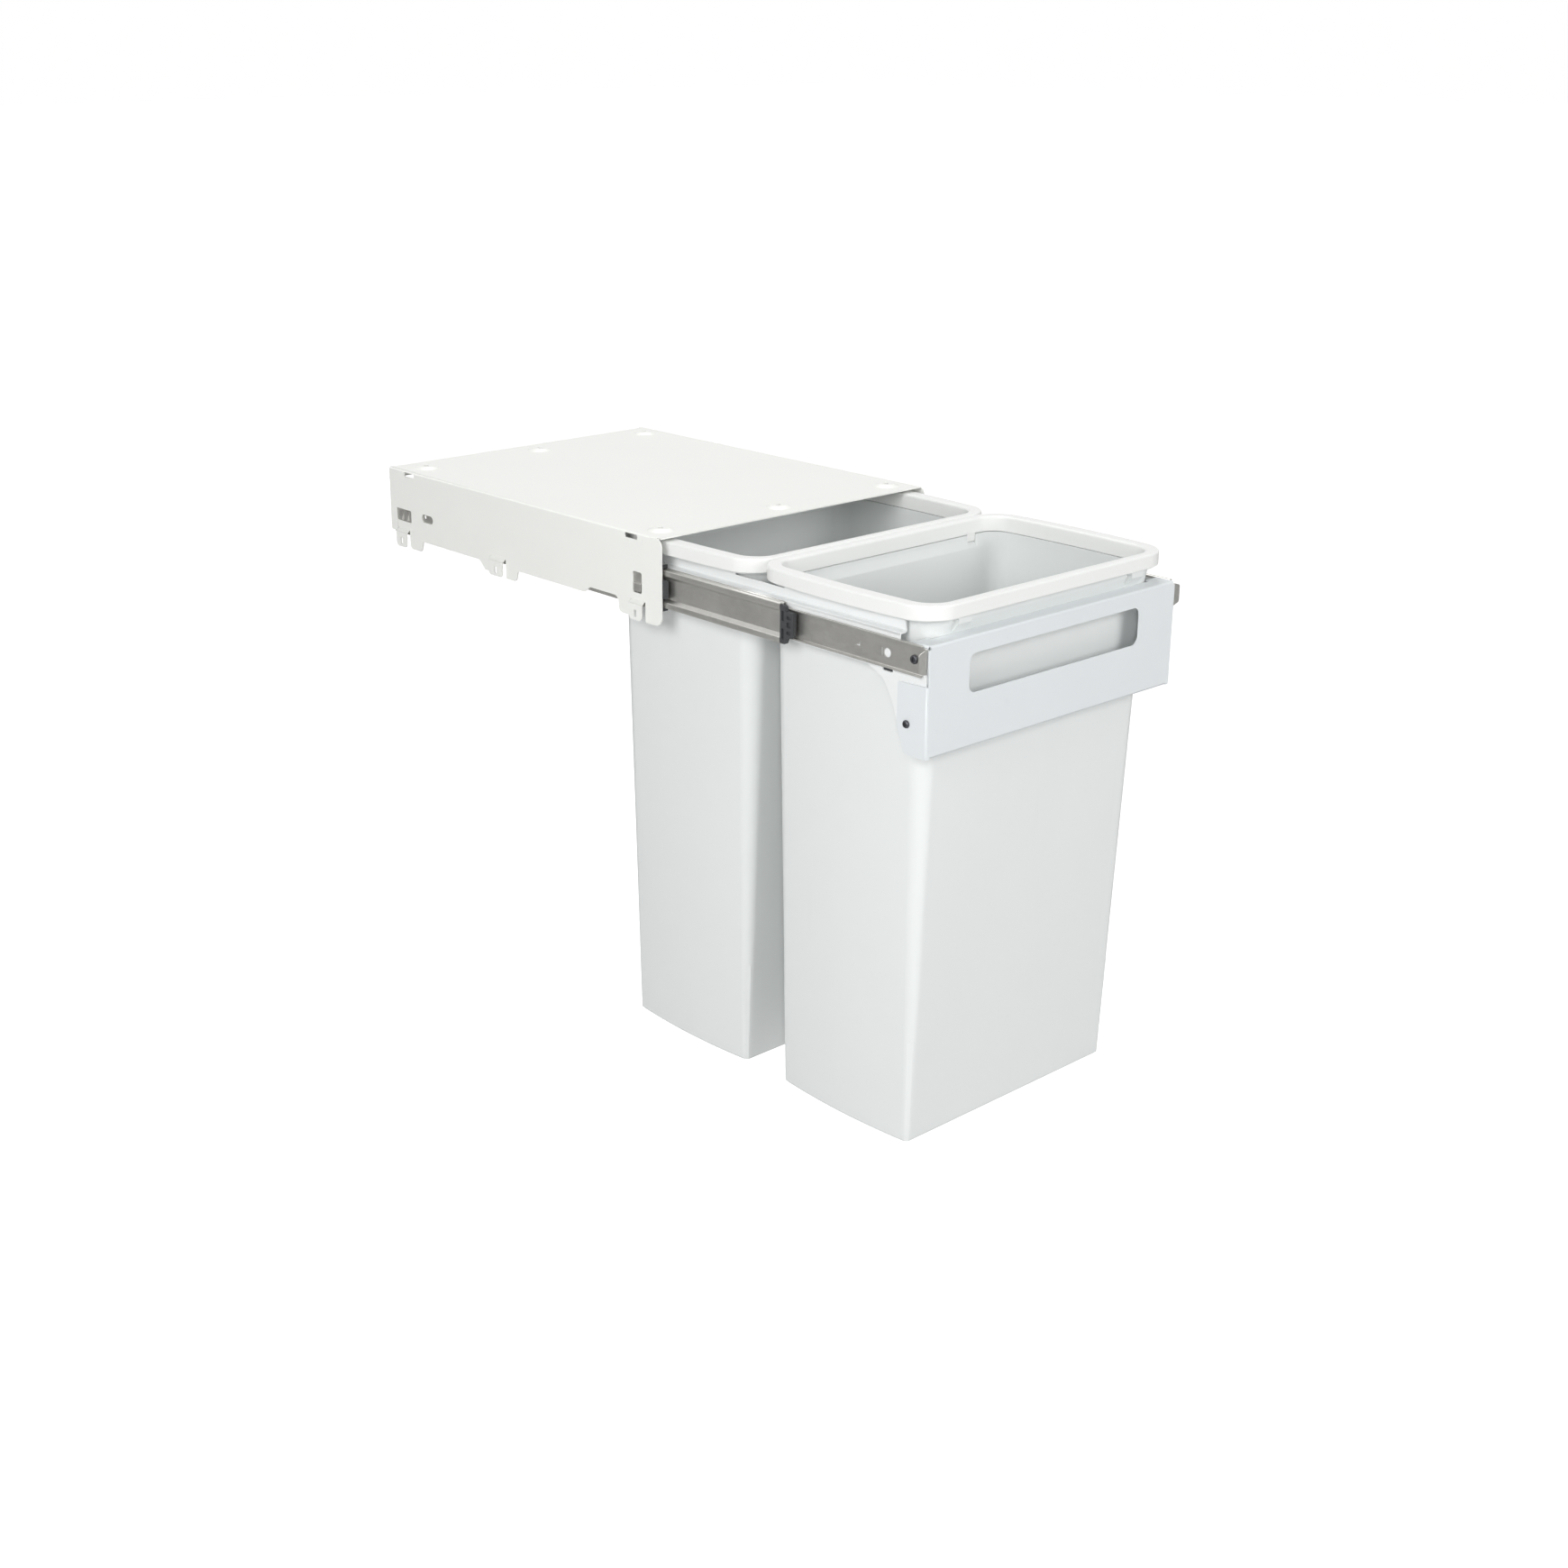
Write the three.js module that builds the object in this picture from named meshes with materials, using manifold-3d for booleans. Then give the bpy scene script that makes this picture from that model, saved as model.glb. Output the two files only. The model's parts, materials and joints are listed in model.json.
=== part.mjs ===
// Pull-out waste unit for a kitchen base cabinet: a fixed sheet-steel cover, two ball-bearing
// slides, a tray of two side rails with a folded hand panel, and two tapered buckets that hang
// in the tray by their rims, each under a clip-on liner collar.
//
// Units are millimetres. +X is right, +Y is towards the back of the cabinet, +Z is up.
// The origin is the middle of the cover's front edge, on the upper face of its top sheet.
// The tray stands partly pulled out: EXTENSION is how far it has left its closed place.

import * as THREE from 'three';
import { mergeVertices } from 'three/addons/utils/BufferGeometryUtils.js';
import Module from 'manifold-3d';

const wasm = await Module();
wasm.setup();

// ---------------------------------------------------------------- driving dimensions

const FIT = 0.3; // gap left between pieces that lie against each other
const SHEET = 1.2; // coated sheet of the cover and the hand panel
const BEND = 0.8; // inner bend radius of the coated sheet
const EXTENSION = 294; // how far the tray is out in this pose

const COVER = {
  width: 346,
  depth: 438.5,
  sideReach: 3.4, // side plates stand this far in front of the top sheet
  sideHeight: 70.9,
  earHeight: 82,
  flagHeight: 79.6,
  backHeight: 66.4,
  notchHeight: 64.4,
  cornerRadius: 8.6,
  foldFront: 5.2, // the fold between top and side starts this far back
  rearLip: 12,
};
const HALF = COVER.width / 2;
const WALL = HALF - SHEET; // inner face of the cover's side plates
const MIDDLE_Y = COVER.depth / 2;

const BOSS = { inset: 25, front: 26.5, rear: 32, base: 13.5, top: 6.6, rise: 2.4, hole: 2.6, facets: 12 };
const FOLD_SLOT = { length: 18, top: 1.7, bottom: 6.2, front: 30.7, rear: 27.5 };
const TAB = { // a jogged fixing tab with an upright screw slot
  top: 63.2, bottom: 81.2, jog: 3.6, jogHeight: 2.6, slit: 1.5, slotWidth: 3.6, slotHeight: 7.2, slotZ: 74.8,
};
const TABS = [ // y spans of the fixing tabs
  [21.4, 39.6], [MIDDLE_Y + 18, MIDDLE_Y + 41], [COVER.depth - 32.7, COVER.depth - 13.8],
];
const WINDOWS = { // openings in each side plate: y span, z span and corner radius
  front: [25, 37.8, -56.2, -36.2, 2],
  middle: [COVER.depth - 77.3, COVER.depth - 57.3, -49.6, -41.2, 4.1],
  rear: [COVER.depth - 37.9, COVER.depth - 10.8, -54.6, -41.6, 1.6],
};

const SLIDE = { // sections are measured inwards from the cover's side plate
  z: -46.6,
  thickness: 1.1,
  depth: 11.65, // from the side plate to the tray's side face
  tip: 9.4, // reach of the outer member's flanges
  front: 2,
  rearGap: 4.5,
};
const BALL = { play: 0.1, outer: 4, inner: 2.3, endMargin: 7 };
const CAGE = { sheet: 0.5, room: 1 }; // room is the clear width that a cage's web runs in
const INNER = { // gap is to the back of the hand panel
  half: 13.3, length: 400, gap: 0.5, flangeStart: 4.5, tabReach: 1, tabRoot: 10.4, tabTip: 8,
};
const MIDDLE = { closedFront: -8.7, length: 400, ridge: 1.1, recess: 2.95, recessHalf: 9.7, nearHalf: 12.8 };
const OUTER_CAGE = { closedStart: 105.5, pitch: 35, count: 6 };
const INNER_CAGE = { closedStart: 114.5, pitch: 44, count: 4 };
const SCREW = { head: 2.2, slideHead: 3.9, panelHead: 3.4, shank: 1.9, hole: 2.2 };

// Section levels that follow from the balls and the member thickness.
const RACE = INNER.half + 2 * BALL.play + BALL.inner + SLIDE.thickness / 2;
const OUTER_HALF = RACE + BALL.outer + 2 * BALL.play + SLIDE.thickness * 1.5;
const CREST = RACE + SLIDE.thickness / 2 + MIDDLE.ridge;
const OUTER_INSIDE = FIT + SLIDE.thickness;
const NEAR_WEB = OUTER_INSIDE + CAGE.room + SLIDE.thickness / 2;
const FAR_WEB = NEAR_WEB + MIDDLE.recess;
const INNER_TIP = FAR_WEB + SLIDE.thickness / 2 + CAGE.room + 0.05;
const INNER_WEB = SLIDE.depth - FIT - SLIDE.thickness / 2;

const RAIL_FACE = WALL - SLIDE.depth; // outer face of the tray's side rails
const TRAY = {
  thickness: 1.5,
  ledge: SLIDE.z + INNER.half + 4.5,
  ledgeWidth: 7.6,
  upstand: 10.5,
  lean: 1.4,
  bottom: SLIDE.z - INNER.half - 2.6,
  rear: 10.8, // rail left behind the rear collar
  notchLength: 64,
  notchDepth: 2.2,
};
const UPSTAND_X = RAIL_FACE - TRAY.thickness / 2 - TRAY.ledgeWidth;
const UPSTAND_TOP = TRAY.ledge + TRAY.upstand;

const PANEL = {
  closedFace: -28.3,
  height: 97,
  topReturn: 14.3,
  endReturn: 19,
  bottomReturn: 11,
  slot: { width: 223, height: 34.4, drop: 15.5, radius: 8 },
  flange: { drop: 34.6, reach: 33.1, rise: 22.5, cut: 8 },
  screw: { back: 21.8, rise: 26.6 },
};
const PANEL_FACE = PANEL.closedFace - EXTENSION;
const PANEL_HALF = RAIL_FACE + FIT + SHEET;
const PANEL_TOP = SLIDE.z + INNER.half + FIT;
const PANEL_BOTTOM = PANEL_TOP - PANEL.height;
const PANEL_SCREW = [PANEL_FACE + PANEL.screw.back, PANEL_BOTTOM + PANEL.screw.rise];

const INNER_FRONT = PANEL_FACE + SHEET + INNER.gap;
const SLIDE_SCREWS = { front: INNER_FRONT + 13.4, rear: INNER_FRONT + INNER.length - 70 };

const COLLAR = {
  wall: 1.8,
  radius: 28.7,
  bow: 6.4, // the left and right sides of the rim and the collar swell outwards by this much
  inset: [12.6, 10.5], // from the outer edge to the opening, across and along
  openingRadius: 20,
  height: 12.7,
  overlap: 0.8, // its skirt hangs this far below the rim's upper face
  clearance: 0.5, // between the two collars
  edgeDrop: 2.5,
  skirt: 12.2,
};
const BUCKET = {
  depth: 205.4, // over the rim, front to back
  height: 489.4,
  wall: 2.3,
  lipWall: 1.9,
  base: 3,
  rim: 2.2,
  rimOverlap: 0.25, // the rim reaches this far past the rail's upstand
  rimWidth: [7, 5],
  rimRadius: 26.5,
  neckRadius: 22,
  neckDrop: 5,
  neckBow: 3.4, // the body still passes between the rails' upstands
  shoulderDrop: 14,
  shoulderIn: [0, 4.5],
  shoulderRadius: 18,
  taper: [12.8, 13.4], // each side comes in this much from the shoulder to the floor
  lean: 4.4, // the floor stands this far behind the rim, so that the front wall slopes more
  floorRadius: 6,
  floorBow: 4.6,
  ribHeight: 100.6,
};
const CLIP = { inset: 34.5, width: 16, reach: 4.6, height: 14.4, leg: 7.4, sheet: 1.3 };

// The buckets' rims lie on the rails' upstands and the collars cover the rims.
const RIM_UNDER = UPSTAND_TOP + FIT;
const RIM_TOP = RIM_UNDER + BUCKET.rim;
const RIM = [UPSTAND_X + TRAY.lean + TRAY.thickness / 2 + BUCKET.rimOverlap, BUCKET.depth / 2];
const NECK = RIM.map((half, i) => half - BUCKET.rimWidth[i]);
const SHOULDER = NECK.map((half, i) => half - BUCKET.shoulderIn[i]);
const FLOOR = SHOULDER.map((half, i) => half - BUCKET.taper[i]);
const FLOOR_Z = RIM_TOP - BUCKET.height;
const SHOULDER_Z = RIM_UNDER - BUCKET.shoulderDrop;
const COLLAR_HALF = RIM.map((half) => half + FIT * 2 + COLLAR.wall);
const OPENING = COLLAR_HALF.map((half, i) => half - COLLAR.inset[i]);
const COLLAR_BOTTOM = RIM_TOP - COLLAR.overlap;
const COLLAR_TOP = COLLAR_BOTTOM + COLLAR.height;
const PITCH = 2 * COLLAR_HALF[1] + COLLAR.clearance;
const FRONT_BUCKET = PANEL_FACE + 2.7 + COLLAR_HALF[1];
const REAR_BUCKET = FRONT_BUCKET + PITCH;
const CLIP_X = NECK[0] - CLIP.inset;
const RAIL_FRONT = PANEL_FACE + 33.8;
const RAIL_BACK = REAR_BUCKET + COLLAR_HALF[1] + TRAY.rear;

// -------------------------------------------------------------------- solid toolkit

const manifoldOf = (vertices, triangles) => new wasm.Manifold(new wasm.Mesh({
  numProp: 3,
  vertProperties: new Float32Array(vertices),
  triVerts: new Uint32Array(triangles),
}));

function solid(geometry) {
  const bare = geometry.clone();
  bare.deleteAttribute('normal');
  bare.deleteAttribute('uv');
  const welded = mergeVertices(bare, 1e-4);
  return manifoldOf(welded.attributes.position.array, welded.index.array);
}

const fuse = (pieces) => pieces.reduce((whole, piece) => whole.add(piece));
const cut = (body, tools) => tools.reduce((rest, tool) => rest.subtract(tool), body);

// Copies a solid with every corner moved by `map`; `flip` turns the faces of a mirror image.
function mapped(body, map, flip = false) {
  const { vertProperties, triVerts } = body.getMesh();
  const vertices = [];
  for (let i = 0; i < vertProperties.length; i += 3) {
    vertices.push(...map(vertProperties[i], vertProperties[i + 1], vertProperties[i + 2]));
  }
  const triangles = [];
  for (let i = 0; i < triVerts.length; i += 3) {
    const [a, b, c] = triVerts.slice(i, i + 3);
    triangles.push(...(flip ? [a, c, b] : [a, b, c]));
  }
  return manifoldOf(vertices, triangles);
}

const mirrored = (body) => mapped(body, (x, y, z) => [-x, y, z], true);
const moved = (body, dx, dy, dz) => mapped(body, (x, y, z) => [x + dx, y + dy, z + dz]);

const TO_X = new THREE.Matrix4().makeBasis(
  new THREE.Vector3(0, 1, 0), new THREE.Vector3(0, 0, 1), new THREE.Vector3(1, 0, 0));
const TO_Y = new THREE.Matrix4().makeBasis(
  new THREE.Vector3(1, 0, 0), new THREE.Vector3(0, 0, 1), new THREE.Vector3(0, -1, 0));

function extrusion(shape, depth, segments) {
  return new THREE.ExtrudeGeometry(shape, {
    depth, bevelEnabled: false, steps: 1, curveSegments: segments,
  });
}

// Shapes drawn in (y, z), (x, z) and (x, y), pushed along X, Y and Z between two planes.
const alongX = (shape, x0, x1, segments = 6) => solid(
  extrusion(shape, x1 - x0, segments).applyMatrix4(TO_X).translate(x0, 0, 0));
const alongY = (shape, y0, y1, segments = 6) => solid(
  extrusion(shape, y1 - y0, segments).applyMatrix4(TO_Y).translate(0, y1, 0));
const alongZ = (shape, z0, z1, segments = 6) => solid(
  extrusion(shape, z1 - z0, segments).translate(0, 0, z0));

function polygon(points) {
  return new THREE.Shape(points.map(([a, b]) => new THREE.Vector2(a, b)));
}

function block(x0, x1, y0, y1, z0, z1) {
  return alongZ(polygon([[x0, y0], [x1, y0], [x1, y1], [x0, y1]]), z0, z1);
}

// Rounds the corners of a run of points [a, b, radius]; a closed run rounds its ends as well.
// A corner's radius is limited by the room that its two neighbours leave.
function rounded(points, closed, steps = 2) {
  const result = [];
  const count = points.length;
  points.forEach(([a, b, radius = 0], i) => {
    const here = new THREE.Vector2(a, b);
    const isEnd = !closed && (i === 0 || i === count - 1);
    if (isEnd || radius === 0) {
      result.push(here);
      return;
    }
    const before = new THREE.Vector2(...points[(i + count - 1) % count].slice(0, 2)).sub(here);
    const after = new THREE.Vector2(...points[(i + 1) % count].slice(0, 2)).sub(here);
    const room = 0.49 * Math.min(before.length(), after.length());
    before.normalize();
    after.normalize();
    const half = Math.acos(THREE.MathUtils.clamp(before.dot(after), -1, 1)) / 2;
    const reach = Math.min(radius / Math.tan(half), room);
    const arc = reach * Math.tan(half);
    const centre = before.clone().add(after).normalize().multiplyScalar(arc / Math.sin(half)).add(here);
    const start = before.multiplyScalar(reach).add(here).sub(centre);
    const end = after.multiplyScalar(reach).add(here).sub(centre);
    const sweep = Math.atan2(start.cross(end), start.dot(end));
    for (let k = 0; k <= steps; k += 1) {
      result.push(start.clone().rotateAround(new THREE.Vector2(), (sweep * k) / steps).add(centre));
    }
  });
  return result;
}

const roundedShape = (points, steps) => new THREE.Shape(rounded(points, true, steps));

function roundedBox(a0, a1, b0, b1, radius, steps = 2) {
  return roundedShape([[a0, b0, radius], [a1, b0, radius], [a1, b1, radius], [a0, b1, radius]], steps);
}

function circle(a, b, radius) {
  const shape = new THREE.Shape();
  shape.absarc(a, b, radius, 0, 2 * Math.PI, false);
  return shape;
}

// The cross-section of a folded sheet that follows a centre line of points [a, b, radius].
function sheetSection(path, thickness, steps = 2) {
  const points = path.map(([a, b]) => new THREE.Vector2(a, b));
  const directions = points.slice(1).map((point, i) => point.clone().sub(points[i]).normalize());
  const face = (side) => points.map((point, i) => {
    const incoming = directions[Math.max(i - 1, 0)];
    const outgoing = directions[Math.min(i, directions.length - 1)];
    const mitre = new THREE.Vector2(-incoming.y - outgoing.y, incoming.x + outgoing.x);
    mitre.multiplyScalar((side * thickness) / 2 / (1 + incoming.dot(outgoing)));
    const inside = side * Math.sign(incoming.cross(outgoing));
    const radius = path[i][2] ? Math.max(path[i][2] - (inside * thickness) / 2, 0) : 0;
    return [point.x + mitre.x, point.y + mitre.y, radius];
  });
  return new THREE.Shape([
    ...rounded(face(1), false, steps), ...rounded(face(-1), false, steps).reverse(),
  ]);
}

// A closed solid through rings of equal point count, listed from bottom to top.
function loft(rings) {
  const count = rings[0].length;
  const triangles = [];
  for (let k = 0; k < rings.length - 1; k += 1) {
    for (let i = 0; i < count; i += 1) {
      const a = k * count + i;
      const b = k * count + ((i + 1) % count);
      triangles.push(a, b, b + count, a, b + count, a + count);
    }
  }
  const cap = (points) => THREE.ShapeUtils.triangulateShape(
    points.map(([x, y]) => new THREE.Vector2(x, y)), []);
  cap(rings[0]).forEach(([a, b, c]) => triangles.push(a, c, b));
  const top = (rings.length - 1) * count;
  cap(rings[rings.length - 1]).forEach(([a, b, c]) => triangles.push(top + a, top + b, top + c));
  return manifoldOf(rings.flat(2), triangles);
}

// A rounded rectangle about the Z axis at height z, as ring points for a loft. `bow` swells
// the two sides that face left and right; `shift` moves the ring along Y.
function ring([halfX, halfY], radius, z, bow = 0, shift = 0) {
  const steps = 3;
  const points = [];
  [[1, -1, -90], [1, 1, 0], [-1, 1, 90], [-1, -1, 180]].forEach(([sx, sy, angle]) => {
    for (let k = 0; k <= steps; k += 1) {
      const turn = THREE.MathUtils.degToRad(angle + (90 * k) / steps);
      points.push([
        sx * (halfX - radius) + radius * Math.cos(turn),
        sy * (halfY - radius) + radius * Math.sin(turn),
      ]);
    }
    if (sx === sy) return;
    for (let k = 1; k < steps; k += 1) {
      points.push([sx * halfX, sx * (-1 + (2 * k) / steps) * (halfY - radius)]);
    }
  });
  return points.map(([x, y]) => [x * (1 + (bow / halfX) * (1 - (y / halfY) ** 2)), y + shift, z]);
}

const grown = (half, by) => half.map((value) => value + by);

// A turned solid about a line through (y, z) that runs along X; profile points are [radius, x].
function turnedAlongX(profile, y, z, segments = 8) {
  const outline = profile.map(([r, a]) => new THREE.Vector2(r, a));
  const geometry = new THREE.LatheGeometry([...outline, outline[0]], segments);
  return solid(geometry.rotateZ(-Math.PI / 2).translate(0, y, z));
}

// The same about a line through (x, y) that runs along Z; profile points are [radius, z].
function turnedAlongZ(profile, x, y, segments) {
  const outline = profile.map(([r, a]) => new THREE.Vector2(r, a));
  const geometry = new THREE.LatheGeometry([...outline, outline[0]], segments);
  return solid(geometry.rotateX(Math.PI / 2).translate(x, y, 0));
}

const FINISH = {
  coverWhite: { color: 0xf0f1ec, roughness: 0.42, metalness: 0 },
  panelWhite: { color: 0xe4e8ea, roughness: 0.4, metalness: 0 },
  railWhite: { color: 0xeceeec, roughness: 0.4, metalness: 0 },
  bucketWhite: { color: 0xe6e9e8, roughness: 0.45, metalness: 0 },
  collarWhite: { color: 0xedefee, roughness: 0.38, metalness: 0 },
  galvanised: { color: 0x99968f, roughness: 0.42, metalness: 0.85 },
  cageSteel: { color: 0xb4b2ac, roughness: 0.35, metalness: 0.9 },
  blackPlastic: { color: 0x2c2d2f, roughness: 0.5, metalness: 0 },
  screwSteel: { color: 0x55565a, roughness: 0.35, metalness: 0.9 },
};

const group = new THREE.Group();
group.name = 'pull_out_waste_unit';

function addPart(name, body, finish) {
  const { vertProperties, triVerts } = body.getMesh();
  const geometry = new THREE.BufferGeometry();
  geometry.setAttribute('position', new THREE.Float32BufferAttribute(vertProperties, 3));
  geometry.setIndex(new THREE.Uint32BufferAttribute(triVerts, 1));
  geometry.computeVertexNormals();
  const mesh = new THREE.Mesh(geometry, new THREE.MeshStandardMaterial(FINISH[finish]));
  mesh.name = name;
  group.add(mesh);
}

// Adds a left-hand piece and its mirror image.
function addPair(name, body, finish) {
  addPart(`${name}_left`, body, finish);
  addPart(`${name}_right`, mirrored(body), finish);
}

// ------------------------------------------------------------------------- the cover

const SIDE_MID = HALF - SHEET / 2;
const SEAM = 9; // depth below the top at which the folded section meets the side plate

// Side plate outline in (y, z): ears that carry the fixing tabs hang below a straight edge.
function sidePlateShape() {
  const { depth, sideReach, sideHeight, earHeight, flagHeight, backHeight, notchHeight } = COVER;
  const [front, middle, back] = TABS;
  const lobe = { front: front[0] - TAB.slit, middle: middle[0] - TAB.slit, back: back[0] - TAB.slit };
  return roundedShape([
    [depth, -SEAM, 0],
    [depth, -backHeight, 2],
    [back[1] + TAB.slit, -backHeight, 1],
    [back[1], -backHeight, 0],
    [lobe.back, -backHeight, 0],
    [lobe.back, -earHeight, 5],
    [lobe.back - 21, -earHeight, 5],
    [lobe.back - 24, -sideHeight, 3],
    [middle[1] + 20, -sideHeight, 6],
    [middle[1] + 11, -flagHeight, 3],
    [middle[1], -flagHeight, 0],
    [lobe.middle, -flagHeight, 0],
    [lobe.middle, -earHeight, 5],
    [lobe.middle - 17, -earHeight, 5],
    [lobe.middle - 20, -sideHeight, 3],
    [front[1] + 71, -sideHeight, 5],
    [front[1] + 62, -notchHeight, 3],
    [front[1] + 19.4, -notchHeight, 6],
    [front[1] + 19.4, -flagHeight, 6],
    [front[1], -flagHeight, 0],
    [lobe.front, -flagHeight, 0],
    [lobe.front, -earHeight, 5],
    [-sideReach, -earHeight, 9],
    [-sideReach, -0.5, COVER.cornerRadius],
    [12, -0.5, 0],
    [12, -SEAM, 0],
  ], 2);
}

// One fixing tab: the plate is jogged outwards and ends in a screw plate with an upright slot.
function fixingTab([y0, y1]) {
  const outside = SIDE_MID + TAB.jog;
  const section = sheetSection([
    [-SIDE_MID, -TAB.top + 3], [-SIDE_MID, -TAB.top, BEND],
    [-outside, -TAB.top - TAB.jogHeight, BEND], [-outside, -TAB.bottom],
  ], SHEET);
  const outline = roundedShape([
    [y0, -TAB.top + 5, 0], [y0, -TAB.bottom, 4.5], [y1, -TAB.bottom, 4.5], [y1, -TAB.top + 5, 0],
  ]);
  const middle = (y0 + y1) / 2;
  const halfSlot = TAB.slotWidth / 2;
  const slot = roundedBox(middle - halfSlot, middle + halfSlot,
    -TAB.slotZ - TAB.slotHeight / 2, -TAB.slotZ + TAB.slotHeight / 2, halfSlot);
  const across = (shape) => alongX(shape, -HALF - 2 * TAB.jog, -WALL + 2);
  return alongY(section, y0, y1).intersect(across(outline)).subtract(across(slot));
}

function coverBody() {
  const { depth, rearLip, sideReach, foldFront } = COVER;
  const bendRadius = BEND + SHEET / 2;
  const folded = sheetSection([
    [-SIDE_MID, -SEAM - 3], [-SIDE_MID, -SHEET / 2, bendRadius],
    [SIDE_MID, -SHEET / 2, bendRadius], [SIDE_MID, -SEAM - 3],
  ], SHEET);
  const lip = sheetSection([
    [foldFront, -SHEET / 2], [depth - SHEET / 2, -SHEET / 2, bendRadius],
    [depth - SHEET / 2, -rearLip],
  ], SHEET);
  const shell = fuse([
    alongY(folded, foldFront, depth),
    block(-HALF + 2.2, HALF - 2.2, 0, foldFront + 2, -SHEET, 0),
    alongX(sidePlateShape(), -HALF, -WALL),
  ]);
  // The rear lip takes the place of the flat sheet's last strip.
  const strip = block(-HALF + 6, HALF - 6, depth - 4, depth + 1, -SEAM, 1);
  const lipped = shell.subtract(strip).add(alongX(lip, -HALF + 6, HALF - 6));
  const { front, rear, length, top, bottom } = FOLD_SLOT;
  const slots = [front, depth - rear - length].map((y) => roundedBox(
    y, y + length, -bottom, -top, 1.6));
  const windows = Object.values(WINDOWS).map(([y0, y1, z0, z1, radius]) => roundedBox(
    y0, y1, z0, z1, radius));
  const behindTabs = TABS.map(([y0, y1]) => block(
    -HALF - 1, -WALL + 1, y0 - TAB.slit, y1 + TAB.slit, -COVER.earHeight - 5, -TAB.top));
  const left = fuse([
    cut(lipped, [
      ...[...slots, ...windows].map((shape) => alongX(shape, -HALF - 1, -WALL + 1)),
      ...behindTabs,
    ]),
    ...TABS.map(fixingTab),
  ]).intersect(block(-HALF - 2 * TAB.jog, 0, -2 * sideReach, depth + 5, -100, 20));
  const places = [-HALF + BOSS.inset, 0, HALF - BOSS.inset].flatMap(
    (x) => [BOSS.front, depth - BOSS.rear].map((y) => [x, y]));
  const openings = places.map(([x, y]) => alongZ(
    circle(x, y, BOSS.base - 0.4), -5, 5, BOSS.facets / 2));
  const bosses = places.map(([x, y]) => turnedAlongZ([
    [BOSS.hole, BOSS.rise], [BOSS.hole, BOSS.rise - SHEET], [BOSS.top - 0.5, BOSS.rise - SHEET],
    [BOSS.base - 0.9, -SHEET], [BOSS.base, -SHEET], [BOSS.base, 0], [BOSS.top, BOSS.rise],
  ], x, y, BOSS.facets));
  return fuse([cut(left.add(mirrored(left)), openings), ...bosses]);
}

// ------------------------------------------------------------------------- the slides

// A slide section is drawn from the cover's side plate inwards: `a` is the distance from the
// plate and `b` the height over the slide's centre line. The left slide is modelled.
function slideMember(path, thickness, y0, length) {
  const placed = path.map(([a, b, radius]) => [-WALL + a, SLIDE.z + b, radius]);
  return alongY(sheetSection(placed, thickness), y0, y0 + length);
}

const symmetric = (half) => [...half, ...half.slice().reverse().map(([a, b, r]) => [a, -b, r])];
const throughSlide = (shape) => alongX(shape, -WALL, -WALL + SLIDE.depth);

function outerMember() {
  const t = SLIDE.thickness;
  const top = OUTER_HALF - t / 2;
  const web = FIT + t / 2;
  const length = COVER.depth - SLIDE.rearGap - SLIDE.front;
  const body = slideMember(symmetric([
    [SLIDE.tip - 0.8, top - 2.6], [SLIDE.tip - t / 2, top, 0.9], [web, top, 1.2],
  ]), t, SLIDE.front, length);
  const [windowFront, windowBack, windowBottom, windowTop] = WINDOWS.front;
  const hookY = [windowFront + 1.6, windowBack - 1.6];
  const shoulder = (windowTop + windowBottom) / 2;
  // A hook lanced out of the web drops over the edge of the cover's front window.
  const hook = sheetSection([
    [-WALL + web, shoulder + 2.5], [-WALL + web, shoulder, 0.6],
    [-WALL - SHEET / 2, shoulder - 1.2, 0.6], [-WALL - SHEET / 2, windowBottom + 1.2],
  ], t);
  const lanced = roundedBox(hookY[0] - 0.8, hookY[1] + 0.8, windowBottom - 1, shoulder - 0.2, 0.8);
  const [, rivetBack, rivetBottom] = WINDOWS.middle;
  const rivet = circle(rivetBack - 4, rivetBottom + 5.4, 2.1);
  const centre = SLIDE.front + length / 2;
  const slotted = roundedBox(centre - 7, centre + 7, SLIDE.z - 2.2, SLIDE.z + 2.2, 2.1);
  // Two upright beads in the web lie in the cover's rear window and fix the slide's place.
  const [beadFront, beadBack, rearBottom, rearTop] = WINDOWS.rear;
  const beads = [0.3, 0.66].map((share) => beadFront + share * (beadBack - beadFront)).map((y) => block(
    -WALL - 0.5, -WALL + web, y - 1.1, y + 1.1, rearBottom + 1.2, rearTop - 1.2));
  // A tab bent in at the rear end stops the middle member.
  const stopY = SLIDE.front + length - 8;
  const stop = block(-WALL + FIT, -WALL + FAR_WEB, stopY, stopY + t, SLIDE.z - 6, SLIDE.z + 6);
  return fuse([cut(body, [lanced, rivet, slotted].map(throughSlide)), alongY(hook, ...hookY), ...beads, stop]);
}

const MIDDLE_FRONT = MIDDLE.closedFront - EXTENSION / 2;

function middleMember() {
  const crest = CREST - SLIDE.thickness / 2;
  const lip = SLIDE.tip + 0.5;
  const body = slideMember(symmetric([
    [lip, RACE - 1.4], [lip, crest + 0.1, 0.8], [lip - 2, crest + 0.1, 0.8], [lip - 2.9, RACE, 0.8],
    [NEAR_WEB + 2.15, RACE, 0.8], [NEAR_WEB + 1.2, crest, 0.7], [NEAR_WEB, crest, 0.7],
    [NEAR_WEB, MIDDLE.nearHalf, 0.6], [FAR_WEB, MIDDLE.recessHalf, 0.6],
  ]), SLIDE.thickness, MIDDLE_FRONT, MIDDLE.length);
  const hole = (y) => throughSlide(roundedBox(y - 6, y + 6, SLIDE.z - 2, SLIDE.z + 2, 1.9));
  return cut(body, [hole(MIDDLE_FRONT + MIDDLE.length * 0.5), hole(MIDDLE_FRONT + MIDDLE.length - 80)]);
}

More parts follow.
